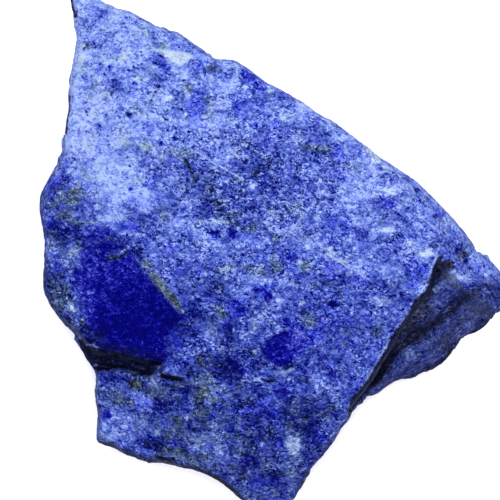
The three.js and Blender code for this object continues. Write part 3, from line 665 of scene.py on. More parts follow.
# grey green
GREENS = [
    (89, 46, 9, 4, 0, .8), (60, 200, 9, 14, 0, .5), (74, 196, 10, 16, 0, 1.0), (163, 46, 5, 8, 0, .8), (138, 80, 7, 5, 0, .7), (186, 86, 8, 6, 0, .5),
    (212, 68, 8, 6, 0, .8), (208, 105, 6, 10, 0, .7), (185, 156, 12, 6, 20, .8), (150, 150, 9, 6, 0, .6), (205, 188, 12, 20, 0, .6),
    (222, 205, 12, 12, 0, .6), (232, 213, 6, 4, 0, .8), (315, 150, 14, 8, 0, .9), (245, 150, 14, 16, 0, .5), (255, 165, 10, 10, 0, .4),
    (269, 90, 4, 6, 0, .7), (165, 218, 8, 8, 0, .9), (170, 240, 6, 5, 0, .6), (277, 240, 3.5, 7, 20, .9), (273, 256, 3.5, 9, 0, .8),
    (278, 270, 7, 5, 0, .9), (258, 270, 10, 7, 0, .9), (306, 267, 7, 6, 0, 1.0), (252, 228, 9, 8, 0, .6), (308, 322, 8, 12, 0, .8),
    (222, 314, 9, 11, 0, .7), (255, 328, 6, 5, 0, .8), (254, 351, 8, 6, 0, .8), (346, 334, 7, 11, 0, .8), (376, 334, 6, 11, 20, .7),
    (322, 300, 9, 5, 0, .7), (386, 300, 12, 5, 0, .5), (200, 359, 5, 11, 0, .9), (212, 388, 14, 9, 0, .5), (136, 385, 9, 5, 10, .9),
    (180, 405, 14, 7, 0, .6), (155, 444, 12, 7, 0, .6), (196, 444, 11, 8, 0, .6), (243, 455, 6, 9, 0, .7), (290, 428, 6, 12, 10, .6),
    (240, 425, 8, 8, 0, .5), (62, 292, 9, 12, 0, .9), (72, 305, 8, 12, -20, .7), (84, 322, 8, 9, 0, .7), (66, 262, 12, 8, 0, .6),
    (288, 371, 10, 4, -8, .8), (306, 381, 6, 3, 30, .8), (225, 268, 9, 4, 0, .8), (238, 270, 9, 7, 0, .4), (213, 287, 12, 9, 0, .5),
    (464, 254, 6, 8, 20, .8), (471, 243, 6, 6, 0, .8), (330, 398, 9, 12, 0, .5), (120, 255, 8, 5, 0, .6), (112, 240, 9, 5, 20, .5),
    (280, 212, 16, 10, 0, .4), (345, 410, 7, 8, 0, .3), (370, 152, 8, 7, 30, .6), (296, 118, 10, 8, 0, .4), (90, 92, 8, 10, 0, .3),
    (112, 257, 7, 4, 10, 1.0), (200, 466, 26, 6, 8, .9), (235, 465, 14, 12, 0, .6), (184, 160, 9, 9, 40, .7), (206, 430, 14, 10, 0, .4), (292, 478, 7, 14, 0, .6), (130, 455, 12, 5, 20, .5), (80, 62, 6, 10, 0, .6), (165, 462, 9, 4, 0, .9),
]
for u0, v0, ru, rv, ang, amount in GREENS:
    green = np.maximum(green, 0.24 + amount * 0.54 * blob(u0, v0, ru, rv, ang, 1.0))

# the upper left drifts from violet to a cool pale grey
up_left = blob(125, 95, 62, 100, -5, 1.0)
light += 0.12 * fbm(P, 2.7, 3, 321) * up_left
vivid += 0.55 * fbm(P, 3.3, 3, 323) * up_left
green = np.maximum(green + 0.40 * fbm(P, 3.0, 3, 325) * up_left, 0.0)

# the lower left is mottled, grey against lavender
low_left = blob(170, 418, 78, 40, 8, 1.0)
light += 0.22 * fbm(P, 2.5, 3, 311) * low_left
green += (0.75 * fbm(P, 3.1, 3, 313) + 0.04) * low_left
for u0, v0, ru, rv, ang, more, grey in [(121, 430, 20, 14, 15, 0.03, -0.25), (168, 450, 22, 9, 10, -0.08, 0.22), (162, 392, 13, 13, 30, -0.08, 0.20), (202, 388, 17, 11, 10, 0.05, 0.25),
                                        (133, 384, 10, 6, 20, -0.06, 0.35), (198, 405, 12, 8, 0, -0.04, 0.15), (140, 399, 11, 6, 15, 0.06, -0.10), (118, 400, 12, 10, 0, -0.05, 0.10)]:
    spot = blob(u0, v0, ru, rv, ang, 1.0)
    light += more * spot
    green += grey * spot
green = np.maximum(green, 0.0)

# white calcite
for ring, amount in [
    ([(154, 49), (165, 50), (178, 52), (191, 54), (193, 57), (186, 63), (179, 67), (172, 61), (162, 54)], 0.80),
    ([(287, 420), (292, 428), (297, 440), (305, 447), (301, 453), (290, 458), (284, 450), (287, 441), (283, 432)], 0.32),
    ([(448, 271), (458, 267), (469, 270), (472, 277), (462, 281), (450, 279)], 0.22),
    ([(404, 236), (412, 239), (420, 246), (413, 246), (406, 243)], 0.5),
]:
    white = np.maximum(white, amount * patch(ring, 2.3))
WHITES = [
    (138, 80, 5, 4, 0, .6), (168, 98, 4, 3, 0, .7), (186, 114, 2.2, 2.2, 0, .8), (191, 87, 2.5, 2, 0, .6), (127, 55, 5, 5, 0, .4),
    (86, 56, 7, 4, 0, .35), (269, 90, 2.5, 5, 0, .7), (283, 118, 2.5, 2, 0, .8), (299, 131, 3, 2, 0, .7), (254, 186, 4, 2.5, 0, .55),
    (241, 180, 5, 3, -20, .6), (317, 217, 4, 2, -30, .5), (376, 160, 6, 4, 0, .7), (370, 151, 5, 6, 30, .5), (385, 167, 6, 3, 20, .5),
    (388, 191, 9, 3, 0, .5), (388, 230, 6, 3.5, 0, .75), (427, 254, 8, 3.5, 0, .7), (437, 288, 4, 5, 0, .45), (300, 262, 4, 3.5, 0, .6),
    (310, 262, 3, 3, 0, .5), (225, 268, 7, 2.5, 0, .55), (280, 302, 4, 3, 20, .42), (303, 303, 5, 3, -20, .35), (255, 328, 3, 2.5, 0, .6),
    (255, 351, 4, 2.5, 0, .6), (256.5, 380, 4.2, 1.8, 0, 1.0), (287, 372, 6, 2, -8, .6), (186, 418, 2.6, 1.6, -10, .9), (221, 455, 5, 4, 0, .25),
    (262, 444, 3, 2.5, 0, .6), (79, 339, 1.8, 1.8, 0, 1.0), (94, 343, 3, 1.4, 10, .5), (72, 307, 2.5, 2.5, 0, .9), (150, 384, 4, 3.0, 0, .25),
    (409, 353, 7, 5, 0, .5), (428, 342, 1.6, 1.6, 0, .8), (66, 224, 1.8, 1.8, 0, .9), (72, 197, 2, 2, 0, .6), (68, 262, 8, 2.5, 0, .4),
    (111, 257, 2.8, 1.3, 25, .7), (106, 255, 1.5, 1.5, 0, .6), (124, 250, 3.4, 1.3, -35, .7), (129, 246, 1.6, 1.2, 0, .6), (183, 311, 2.6, 1.5, 20, .8),
    (142, 254, 3.5, 1.6, 50, .35), (147, 262, 3, 1.4, 55, .35), (152, 269, 2.4, 1.4, 50, .45), (160, 281, 2, 1.2, 40, .4), (137, 248, 2.2, 1.6, 20, .5),
    (425, 326, 4, 1.6, -20, .35), (438, 316, 3, 1.5, 0, .35), (420, 312, 1.8, 1.8, 0, .35), (412, 330, 2, 1.2, 0, .3), (431, 309, 2, 1.2, 0, .3),
    (380, 299, 9, 2.2, 8, .4), (213, 222, 9, 2.5, 0, .4), (283, 466, 5, 3, 0, .4), (320, 378, 4, 4, 0, .3),
]
for u0, v0, ru, rv, ang, amount in WHITES:
    white = np.maximum(white, amount * blob(u0, v0, ru, rv, ang, 0.7))
for line, half, amount in [
    ([(338, 260), (345, 264), (351, 262)], 1.6, 0.30),
    ([(256, 312), (264, 318), (272, 322), (280, 328)], 2.0, 0.50),
    ([(252, 304), (257, 314)], 1.6, 0.40),
    ([(101, 5), (116, 11), (132, 17), (147, 24)], 2.4, 0.35),
    ([(154, 49), (160, 50), (169, 53)], 1.8, 0.80),
    ([(276, 376), (284, 373), (291, 371)], 1.6, 0.50),
]:
    white = np.maximum(white, amount * streak(line, half, 0.8))

# the pure blue mass at the lower left, deepest in the middle, with a round one beside it
deep_in = inside(CU, CV, DISH)
torn = np.maximum(smooth(104, 90, U), smooth(150, 162, U) * smooth(308, 322, V))
deep_in = deep_in + torn * (11.0 * fbm(P, 2.4, 3, 411) + 9.0 * fbm(P, 5.0, 2, 413))
deep = np.maximum(deep, (0.62 * smooth(-9, 3, deep_in) + 0.38 * smooth(-2, 14, deep_in)) * ON_TOP)
deep = np.maximum(deep, 0.80 * blob(78, 274, 7, 7, 0, 0.9))
deep *= 1 - 0.30 * blob(84, 304, 8, 20, 0, 0.9) - 0.92 * blob(115, 255, 10, 5.6, -10, 0.8) - 0.55 * blob(182, 338, 15, 19, 0, 0.9) - 0.50 * blob(86, 333, 10, 12, -30, 0.9)
deep *= 1 - 0.85 * blob(139, 247, 9, 7, 30, 0.9)
deep = np.maximum(deep, 0.5 * blob(172, 332, 8, 9, 0, 0.9))
SPOT = [(264, 352), (267, 341), (276, 334), (287, 331), (295, 338), (296, 350), (292, 362), (284, 368), (272, 363)]
deep = np.maximum(deep, patch(SPOT, 2.5, False))
for u0, v0, ru, rv, amount in [(268, 297, 4.5, 7, .9), (256, 290, 4, 4, .7), (241, 309, 7, 5, .7), (281, 392, 8, 6, .6), (250, 463, 9, 7, .5),
                               (298, 338, 10, 17, .75), (290, 324, 9, 5, .6), (100, 236, 24, 9, .50), (124, 242, 12, 7, .5), (236, 110, 4, 10, .35), (246, 76, 6, 5, .45), (163, 65, 4, 5, .5),
                               (278, 440, 5, 7, .4), (284, 408, 8, 7, .35), (300, 330, 8, 6, .4), (213, 234, 4, 3, .7), (232, 234, 4, 5, .7), (105, 415, 5, 4, .55), (240, 470, 9, 7, .45), (190, 390, 14, 8, .50)]:
    deep = np.maximum(deep, amount * blob(u0, v0, ru, rv, 0, 0.8))
deep_light = 0.38 + 0.11 * smooth(320, 262, V) + 0.06 * smooth(125, 85, U) + 0.03 * smooth(140, 185, U) * smooth(290, 320, V)
deep_light += 0.16 * fbm(P, 2.2, 3, 131) + 0.08 * blob(150, 350, 16, 8, 20, 0.9) + 0.08 * blob(116, 270, 28, 16, 10, 1.0) - 0.10 * blob(98, 338, 14, 10, 30, 1.0) + 0.18 * blob(86, 300, 11, 36, 0, 1.0)
deep_light += 0.40 * blob(298, 338, 10, 17, 0, 0.9) + 0.07 * blob(279, 349, 14, 16, 0, 0.9)

# the olive streak on the brink of the blue mass, with its chips
OLIVE = [(131, 245), (140, 256), (149, 270), (157, 281), (166, 292), (174, 302), (182, 312)]
d, run, side = to_line(NU, NV, OLIVE)
half = np.where(side > 0, 4.2 - 1.8 * run, 8.6 - 4.8 * run) * (1 + 0.75 * fbm(P, 1.5, 3, 171))
olive = np.where(side > 0, smooth(half + 1.6, half - 1.6, d), smooth(half + 3.5, half - 3.5, d)) * ON_TOP
olive *= smooth(0.0, 0.10, run) * 0.8 + 0.2
green = np.maximum(green, olive * (0.58 + 0.40 * smooth(0.20, 0.45, run) + 0.25 * fbm(P, 1.3, 2, 175)))
light += olive * (0.20 * fbm(P, 1.3, 3, 173) - 0.28 * smooth(0.42, 0.08, run) - 0.02)
deep *= 1 - olive

start = blob(139, 249, 6, 16, -38, 1.0)
green = np.maximum(green, 0.55 * start)
white = np.maximum(white, 0.22 * start * smooth(-0.1, 0.25, fbm(P, 1.4, 3, 415)))

# the foot of the face is dimmer
shade = np.maximum(shade, 0.22 * blob(255, 478, 70, 30, 0, 1.0))
shade = np.maximum(shade, 0.20 * blob(312, 440, 30, 44, 0, 1.0))
shade = np.maximum(shade, 0.52 * blob(92, 336, 14, 10, 30, 0.9))
# painted shade along the top edge of the undercut
over = streak([(88, 344), (105, 347), (119, 349), (138, 354), (160, 359)], 4.0, 1.0)
light -= 0.22 * over
shade = np.maximum(shade, 0.30 * over)
deep = np.maximum(deep, 0.80 * over * smooth(98, 112, U))
deep_light -= 0.14 * over

# crevices, the undercut and slits: painted shadow, near black, and painted shade in the recess
UNDERCUT = [(76, 337), (84, 343), (92, 348), (105, 350), (119, 352), (138, 357), (150, 360), (163, 362), (157, 369), (151, 375), (141, 376),
            (127, 370), (116, 369), (104, 371), (94, 371), (84, 360)]
POCKET_BLACK = [(433, 268), (437, 263), (446, 258), (455, 262), (457, 266), (452, 272), (446, 276), (440, 282), (434, 285), (430, 293),
                (424, 298), (427, 286), (430, 277)]
CREVICE_BLACK = [(423, 292), (431, 296), (428, 303), (433, 309), (426, 313), (419, 316), (414, 322), (421, 327), (431, 329), (440, 321),
                 (448, 312), (455, 305), (464, 296), (474, 288), (482, 282), (487, 287), (478, 297), (468, 304), (458, 311), (449, 320),
                 (441, 328), (430, 334), (421, 341), (412, 346), (402, 350), (397, 357), (394, 367), (386, 375), (380, 385), (371, 392),
                 (362, 397), (352, 405), (350, 400), (361, 387), (369, 376), (377, 363), (384, 351), (391, 339), (397, 328), (403, 320),
                 (408, 312), (413, 302), (418, 295)]
in_recess = np.where(is_top, smooth(-1.0, 2.5, recess_all), 0.0)
# the recess on the right is set less pale and shade is mixed in below: painted shade for faces turned from the light;
# the pale ledge in it stays pale
low_light = 0.40 + 0.30 * blob(458, 274, 20, 11, 10, 0.9) + 0.06 * blob(440, 292, 12, 7, 0, 0.9) + 0.08 * blob(455, 322, 34, 16, -40, 1.0)
low_light = low_light + 0.16 * blob(409, 353, 9, 6, 0, 0.9) + 0.10 * blob(470, 306, 18, 10, -30, 0.9) - 0.04 * blob(425, 367, 20, 6, -20, 0.9)
low_light = low_light - 0.10 * blob(446, 345, 12, 8, -40, 0.9) + 0.10 * fbm(P, 2.6, 3, 161)
low_light = low_light + 0.14 * blob(456, 283, 15, 8, 8, 0.9) - 0.12 * blob(454, 321, 15, 10, -30, 0.9) + 0.06 * blob(474, 330, 8, 7, 0, 0.9) + 0.10 * blob(430, 315, 9, 11, 0, 0.9) - 0.10 * blob(473, 285, 8, 5, 20, 0.9)
top_end = blob(441, 252, 12, 9, 0, 0.9)
low_light = lerp(low_light, 0.66, top_end)
light = lerp(light, low_light, in_recess)
shade = np.maximum(shade, in_recess * (1 - top_end) * (0.62 - 0.62 * blob(458, 278, 20, 13, 8, 0.9) - 0.15 * blob(440, 292, 12, 7, 0, 0.9)
                                        + 0.06 * blob(455, 320, 18, 10, -40, 0.9) + 0.22 * blob(430, 318, 14, 10, 0, 0.9) - 0.12 * blob(420, 362, 24, 10, -20, 1.0)))
green = np.maximum(green, 0.55 * streak([(487, 284), (496, 288), (506, 294)], 7.0, 1.0))
green = np.maximum(green, in_recess * (0.30 + 0.4 * blob(428, 318, 14, 10, 0, 1.0) + 0.3 * blob(446, 345, 14, 10, -40, 1.0) + 0.25 * blob(478, 308, 22, 14, -40, 1.0)))
ridge_d, ridge_run, _ = to_line(U, V, RIDGE)
ridge_w = 5.0 + 4.0 * smooth(0.25, 0.5, ridge_run) * smooth(1.0, 0.6, ridge_run) + 2.0 * fa
# painted shadow along the foot of the ridge wall
ridge_shadow = np.where(is_top, smooth(-0.9, 0.3, recess_all) * smooth(ridge_w + 3.0, ridge_w - 2.5, ridge_d), 0)
ridge_shadow *= 1 - 0.9 * smooth(0.15, 0.02, ridge_run)
steep = in_recess * smooth(0.55, 0.25, nrm[:, 2])
# painted shadow on the wall is fullest in the lower part and in tongues, and lifted just under the ridge
wall_top = smooth(2.1, 0.5, recess_all + 1.5 * fbm(P, 4.0, 2, 333))
shadow_gaps = steep * np.clip(0.05 + 0.62 * smooth(0.06, 0.40, fbm(P, 4.5, 3, 331)) + 0.45 * wall_top, 0, 0.85)
ridge_shadow *= 1 - shadow_gaps
dark = np.maximum(dark, ridge_shadow)
# painted highlight: a thin pale line along the crest of the ridge
crest_highlight = np.where(is_top, smooth(-4.0, -2.2, recess_all) * smooth(-0.2, -1.2, recess_all) * smooth(6, 4, ridge_d), 0)
light += 0.14 * crest_highlight
# painted shadow in the pocket and the crevice, near black in the undercut
dark = np.maximum(dark, (0.86 - 0.30 * smooth(447, 458, U)) * patch(POCKET_BLACK, 3.6, False) * is_top * (1 - shadow_gaps))
dark = np.maximum(dark, (0.94 - 0.40 * smooth(444, 484, U)) * patch(CREVICE_BLACK, 3.8, False) * is_top * (1 - shadow_gaps))
dark *= 1 - 0.95 * blob(439, 250, 9, 9, 0, 0.9)
dark = np.maximum(dark, 1.0 * patch(UNDERCUT, 1.6) * is_top)
# painted shadow: dark lines along brinks and chips, where the sides turn from the light
DARK_LINES = [
    ([(70, 0), (72, 8), (75, 15)], 2.4, .85), ([(69, 96), (68, 110), (67, 122), (66, 134)], 1.5, .80), ([(158, 30), (168, 32), (176, 33), (184, 38), (193, 46), (203, 52), (214, 60)], 1.0, .50),
    ([(238, 66), (248, 73)], 0.9, .35), ([(499, 312), (489, 324), (478, 332), (468, 338)], 2.4, .60), ([(461, 342), (455, 350), (445, 361), (436, 368), (426, 374), (414, 379), (402, 380)], 1.3, .35),
    ([(486, 284), (494, 287), (503, 291)], 3.6, .34), ([(98, 443), (115, 451), (130, 457), (145, 464), (160, 466), (175, 469), (190, 472), (206, 477)], 2.2, .58), ([(158, 463), (168, 465), (176, 466)], 3.4, .66), ([(54, 172), (49, 182)], 1.5, .5),
    ([(255, 492), (262, 498)], 4.0, .4),
]
# painted shade along the rims, where the face curves away under the brink
RIMS = [
    ([(97, 442), (115, 450), (130, 456), (145, 462), (160, 465), (175, 468), (190, 471), (205, 476), (220, 484), (232, 493), (242, 502)], 5.0, .88),
    ([(96, 372), (97, 384), (97, 396), (98, 410), (97, 424), (96, 440)], 2.6, .55),
    ([(352, 409), (346, 421), (339, 433), (331, 445), (322, 457), (312, 468), (304, 481), (297, 493)], 3.2, .70),
    ([(47, 302), (56, 312), (67, 325), (74, 336)], 4.0, .75), ([(46, 262), (47, 285), (49, 299)], 5.0, .80), ([(39, 200), (41, 222), (44, 240)], 2.2, .45),
    ([(497, 313), (486, 325), (477, 332), (468, 337), (461, 341), (455, 349), (445, 361), (436, 368), (426, 374), (414, 378), (402, 379), (390, 385), (376, 392)], 3.6, .72),
    ([(498, 311), (487, 324), (477, 331), (466, 337)], 5.0, .90),
    ([(487, 284), (496, 288), (506, 294)], 6.0, .72),
]
for line, half, amount in RIMS:
    shade = np.maximum(shade, amount * streak(line, half, 1.0) * (0.8 + 0.5 * fbm(P, 2.0, 2, 151)))
for line, half, amount in DARK_LINES:
    dark = np.maximum(dark, amount * streak(line, half, 0.9) * np.where(is_top, 1.0, smooth(0.16, 0.03, down + 0.16 * fbm(P, 2.5, 3, 421))))

# painted shade darkening the face inward from its rims and just under them
inward = edge_all + 1.3 * fbm(P, 1.8, 3, 431)
under_rim = smooth(0.14, 0.03, down + 0.10 * fbm(P, 2.5, 3, 433))
for amount, width, where_ in [
    (0.70, 4.2, smooth(437, 446, V) * smooth(95, 102, U) * smooth(254, 238, U)), (0.78, 7.2, blob(166, 460, 15, 9, 0, 0.9)),
    (0.58, 3.2, smooth(392, 404, U) * smooth(306, 316, V)), (0.45, 2.2, smooth(58, 52, U) * smooth(182, 190, V)),
]:
    dark = np.maximum(dark, amount * where_ * np.where(is_top, smooth(width + 1.2, width - 1.2, inward), under_rim))

# hairlines: line, half width, how dark (below 0: how white). Kept as distances, so they stay thin between mesh points.
HAIRS = [
    ([(158, 374.5), (166, 376.5), (174, 378.5), (187, 381)], 2.6, 1.0), ([(186, 382), (196, 386), (206, 391), (217, 401)], 0.9, 0.55),
    ([(263, 381), (269, 381), (278, 380)], 1.1, 0.95), ([(178, 151), (182, 156), (186, 161)], 0.9, 0.6), ([(183, 157), (187, 163), (191, 170)], 2.0, 0.95), ([(190, 168), (193, 175), (197, 183)], 1.1, 0.7),
    ([(294, 376), (302, 381), (312, 384)], 1.1, 0.75), ([(269, 369), (280, 368), (290, 366), (297, 360)], 1.2, 0.60),
    ([(112, 257), (117, 259), (123, 255), (127, 251)], 1.8, 0.80), ([(103, 262), (112, 259)], 1.1, 0.5),
    ([(189, 419), (197, 422), (209, 424)], 1.0, 0.70), ([(98, 388), (104, 395), (112, 401), (120, 407), (127, 416)], 1.0, 0.55),
    ([(128, 382), (134, 387), (142, 391), (153, 394)], 1.2, 0.60), ([(130, 414), (136, 415), (144, 413)], 0.8, 0.6),
    ([(203, 265), (209, 269), (216, 272), (229, 278)], 1.0, 0.75), ([(228, 276), (236, 280)], 0.7, 0.5),
    ([(76, 15), (82, 18), (84, 26), (88, 30), (93, 33)], 0.9, 0.50), ([(164, 84), (156, 91), (150, 102), (147, 114), (148, 121)], 0.8, 0.55),
    ([(164, 50), (158, 60), (155, 72), (158, 84)], 0.7, 0.35), ([(152, 34), (155, 44), (160, 52)], 0.9, 0.45),
    ([(222, 224), (232, 224), (241, 220)], 0.8, 0.55), ([(221, 267), (230, 265), (238, 268)], 0.8, 0.45),
    ([(216, 396), (228, 392), (240, 387), (250, 385)], 0.8, 0.35), ([(262, 268), (272, 272)], 0.7, 0.6), ([(256, 272), (268, 276)], 0.7, 0.6),
    ([(287, 458), (295, 455), (301, 451)], 0.9, 0.6), ([(283, 438), (289, 441)], 1.0, 0.5), ([(297, 196), (303, 204)], 0.7, 0.3),
    ([(352, 190), (358, 183)], 0.8, 0.5), ([(186, 82), (192, 86), (188, 92)], 0.9, 0.5), ([(184, 119), (189, 117)], 1.2, 0.8),
    ([(100, 352), (110, 350), (117, 352)], 1.0, 0.5), ([(326, 302), (336, 306)], 1.4, 0.7), ([(404, 365), (410, 370)], 1.0, 0.4),
    ([(153, 48), (165, 51), (179, 53), (194, 55)], 1.7, -1.0), ([(192, 149), (204, 157), (215, 164), (228, 171), (246, 181)], 0.8, -0.85), ([(325, 252), (334, 258), (343, 264), (351, 269)], 1.1, -1.0), ([(350, 268), (358, 273), (374, 283)], 0.7, -0.5),
    ([(339, 261), (351, 261)], 1.3, -0.9), ([(413, 206), (426, 221), (435, 229)], 0.9, -0.6), ([(407, 237), (419, 247)], 0.9, -0.45),
    ([(280, 228), (290, 232), (300, 239), (312, 243)], 0.8, -0.55), ([(289, 230), (298, 222), (305, 214)], 0.9, -0.5),
    ([(343, 144), (348, 153)], 0.9, -0.5), ([(201, 178), (214, 184), (228, 181)], 0.7, -0.35), ([(118, 256), (124, 252), (131, 246)], 0.7, -0.5),
    ([(253, 379.5), (261, 379.5)], 1.9, -1.0), ([(279, 373), (287, 371), (293, 369)], 1.2, -0.6), ([(262, 279), (274, 279)], 0.8, -0.6),
    ([(226, 262), (232, 270), (238, 268)], 0.8, -0.5), ([(84, 345), (93, 345), (99, 348)], 0.9, -0.6),
    # the two pale lines down the ridge are painted highlight on its crest
    ([(438, 256), (431, 270), (426, 284), (420, 294)], 0.9, -0.45), ([(390, 338), (383, 351), (374, 367), (364, 384)], 0.9, -0.35),
]
near, s_near, a_near = np.full(len(P), 1e9), np.full(len(P), 4.0), np.zeros(len(P))
for line, half, amount in HAIRS:
    d, run, side = to_line(NU, NV, line)
    taper = smooth(0.0, 0.12, run) * smooth(1.0, 0.88, run)
    m = d / half < near
    near = np.where(m, d / half, near)
    s_near = np.where(m, np.where(side == 0, 1, side) * d / half, s_near)
    a_near = np.where(m, amount * taper * smooth(half + 4.0, half + 2.0, d), a_near)
a_near *= ON_TOP
s_near = np.clip(s_near, -4, 4)
DOTS = [
    (126, 17, 2.2, 1.8), (129, 114, 3.2, 2.8), (135, 83, 2.6, 2.4), (131, 189, 2.8, 2.0), (161, 55, 2.4, 2.2), (158, 87, 2.4, 2.0), (109, 67, 1.8, 1.8),
    (175, 138, 2.2, 2.2), (184, 141, 2.0, 2.0), (161, 144, 2.2, 1.8), (174, 128, 2.4, 2.2), (417, 190, 3.8, 2.2), (435, 216, 3.4, 2.6), (457, 250, 2.4, 2.0),
    (466, 262, 2.4, 2.2), (470, 268, 1.8, 1.8), (333, 304, 4.0, 2.6), (376, 159, 1.8, 1.2), (433, 258, 2.0, 1.8), (210, 251, 1.8, 2.6), (188, 180, 2.2, 2.2),
    (83, 340, 3.0, 2.0), (81, 332, 3.0, 2.2), (112, 93, 1.8, 1.8), (100, 64, 1.6, 1.6), (86, 112, 1.6, 1.6), (148, 93, 1.8, 1.8),
]
for u0, v0, ru, rv in DOTS:
    light -= 0.46 * blob(u0, v0, ru, rv, 0, 0.6)
    vivid = np.maximum(vivid, 0.30 + 0.5 * blob(u0, v0, ru, rv, 0, 0.8))

# pale brinks along the top and upper left: painted light that keeps the rounded edges from falling into shade
light += 0.08 * streak([(98, 2), (130, 14), (164, 31), (184, 38), (216, 61), (244, 68), (302, 104), (370, 151), (428, 194), (451, 218), (471, 242)], 4.5, 1.0)
light += 0.09 * streak([(78, 20), (77, 48), (73, 84), (69, 120), (66, 150)], 6.0, 1.0)
light += 0.07 * streak([(58, 170), (46, 190), (43, 216), (47, 250), (46, 276)], 4.0, 1.0)
white = np.maximum(white, 0.18 * streak([(302, 103), (330, 121), (363, 145), (388, 163)], 2.2, 1.0))

# grains are crispest in the middle, and fewest where the rock is pale
grain += 0.34 * blob(250, 195, 80, 70, 30, 1.0) - 0.12 * blob(200, 430, 100, 50, 0, 1.0) - 0.16 * blob(105, 110, 60, 120, -5, 1.0) - 0.22 * blob(110, 200, 50, 40, 0, 1.0)
grain -= 0.45 * smooth(-2, 8, deep_in) * ON_TOP
speck += 0.46 * blob(115, 100, 62, 110, -5, 1.0) + 0.10 * blob(165, 140, 40, 40, 0, 1.0)
speck -= 0.1 * in_recess

# the flanks and the resting face, never seen in full: the same rock, its clouds laid out by noise
hidden = np.where(is_top, 0.0, smooth(0.02, 0.40, down))
big, mid_ = fbm(P, 15.0, 3, 201), fbm(P, 6.0, 3, 203)
light = lerp(light, 0.47 + 0.30 * big + 0.16 * mid_, hidden)
deep = np.maximum(deep, hidden * smooth(0.30, 0.42, fbm(P + 5.0, 13.0, 3, 207)))
white = np.maximum(white, hidden * 0.7 * smooth(0.36, 0.50, fbm(P + 9.0, 6.5, 3, 211)))
green = np.maximum(green, hidden * (0.25 + 0.9 * smooth(0.15, 0.40, fbm(P, 5.0, 3, 213))))
vivid = np.maximum(vivid, hidden * (0.25 + 0.9 * smooth(0.10, 0.35, fbm(P, 5.0, 3, 217))))
vein = np.abs(fbm(P + 3.0, 12.0, 3, 221))
white = np.maximum(white, hidden * 0.5 * smooth(0.016, 0.004, vein) * smooth(0.0, 0.3, fbm(P, 9.0, 2, 223)))


def layer(name, channels):
    a = mesh.color_attributes.new(name, "FLOAT_COLOR", "POINT")
    a.data.foreach_set("color", np.stack(channels, 1).astype(np.float32).ravel())


layer("rock_a", [np.clip(light, 0, 1), np.clip(grain, 0, 2) / 2, np.clip(speck, 0, 1), np.clip(deep, 0, 1)])
layer("rock_b", [np.clip(green, 0, 1), np.clip(dark, 0, 1), np.clip(white, 0, 1), np.clip(vivid, 0, 1)])
layer("rock_c", [np.clip(deep_light, 0, 1), np.clip(shade, 0, 1), 0.5 + s_near / 8, 0.5 + a_near / 2])

# ---------------------------------------------------------------- material
LIFT = 2.05      # the lights put this much more than 1 on a level face, so colours are set that much darker
HAZE = 0.0010    # what the gloss adds back to every colour


def lin(rgb, a=1.0):
    out = []
    for c in rgb:
        c /= 255.0
        c = c / 12.92 if c <= 0.04045 else ((c + 0.055) / 1.055) ** 2.4
        out.append(max(0.0, c / LIFT - HAZE))
    return (*out, a)


mat = bpy.data.materials.new("lapis_rock")
mat.use_nodes = True
nt = mat.node_tree
nt.nodes.clear()


def node(kind, **props):
    n = nt.nodes.new(kind)
    for k, val in props.items():
        setattr(n, k, val)
    return n


def link(a, b):
    nt.links.new(a, b)


def math_node(op, a, b=None, clamp=False):
    n = node("ShaderNodeMath", operation=op, use_clamp=clamp)
    for i, x in enumerate((a, b)):
        if x is None:
            continue
        if hasattr(x, "is_linked"):
            link(x, n.inputs[i])
        else:
            n.inputs[i].default_value = x
    return n.outputs[0]


def total_of(*xs):
    x = xs[0]
    for y in xs[1:]:
        x = math_node("ADD", x, y)
    return x


def times(a, b):
    return math_node("MULTIPLY", a, b)


def span(x, a, b, c=0.0, d=1.0, kind="LINEAR"):
    n = node("ShaderNodeMapRange", interpolation_type=kind)
    link(x, n.inputs["Value"])
    for key_, val in (("From Min", a), ("From Max", b), ("To Min", c), ("To Max", d)):
        n.inputs[key_].default_value = val
    return n.outputs["Result"]


def mix(fac, a, b):
    n = node("ShaderNodeMix", data_type="RGBA")
    for sock, x in ((n.inputs["Factor"], fac), (n.inputs[6], a), (n.inputs[7], b)):
        if hasattr(x, "is_linked"):
            link(x, sock)
        else:
            sock.default_value = x
    return n.outputs[2]


def ramp(x, stops):
    n = node("ShaderNodeValToRGB")
    link(x, n.inputs[0])
    e = n.color_ramp.elements
    e[0].position, e[0].color = stops[0][0], lin(stops[0][1])
    e[1].position, e[1].color = stops[-1][0], lin(stops[-1][1])
    for pos, rgb in stops[1:-1]:
        s = e.new(pos)
        s.color = lin(rgb)
    return n.outputs[0]


def noise_tex(vec, scale, detail, rough=0.5, distort=0.0):
    n = node("ShaderNodeTexNoise", noise_dimensions="3D")
    link(vec, n.inputs["Vector"])
    n.inputs["Scale"].default_value = scale
    n.inputs["Detail"].default_value = detail
    n.inputs["Roughness"].default_value = rough
    n.inputs["Distortion"].default_value = distort
    return n.outputs[0]


def centred(x):
    return math_node("SUBTRACT", x, 0.5)


def cells(vec, scale, feature="F1"):
    n = node("ShaderNodeTexVoronoi", voronoi_dimensions="3D", feature=feature)
    link(vec, n.inputs["Vector"])
    n.inputs["Scale"].default_value = scale
    return n


def split(colour):
    n = node("ShaderNodeSeparateColor")
    link(colour, n.inputs[0])
    return n.outputs


coord = node("ShaderNodeTexCoord").outputs["Object"]
mm = node("ShaderNodeVectorMath", operation="SCALE")
link(coord, mm.inputs[0])
mm.inputs["Scale"].default_value = 1000.0
lie = node("ShaderNodeMapping", vector_type="TEXTURE")
link(mm.outputs[0], lie.inputs["Vector"])
lie.inputs["Rotation"].default_value = (0.0, 0.0, math.radians(-11))
lie.inputs["Scale"].default_value = (1.28, 1.0, 1.0)
mm = lie.outputs[0]


def moved(offset):
    n = node("ShaderNodeVectorMath", operation="ADD")
    link(mm, n.inputs[0])
    n.inputs[1].default_value = offset
    return n.outputs[0]


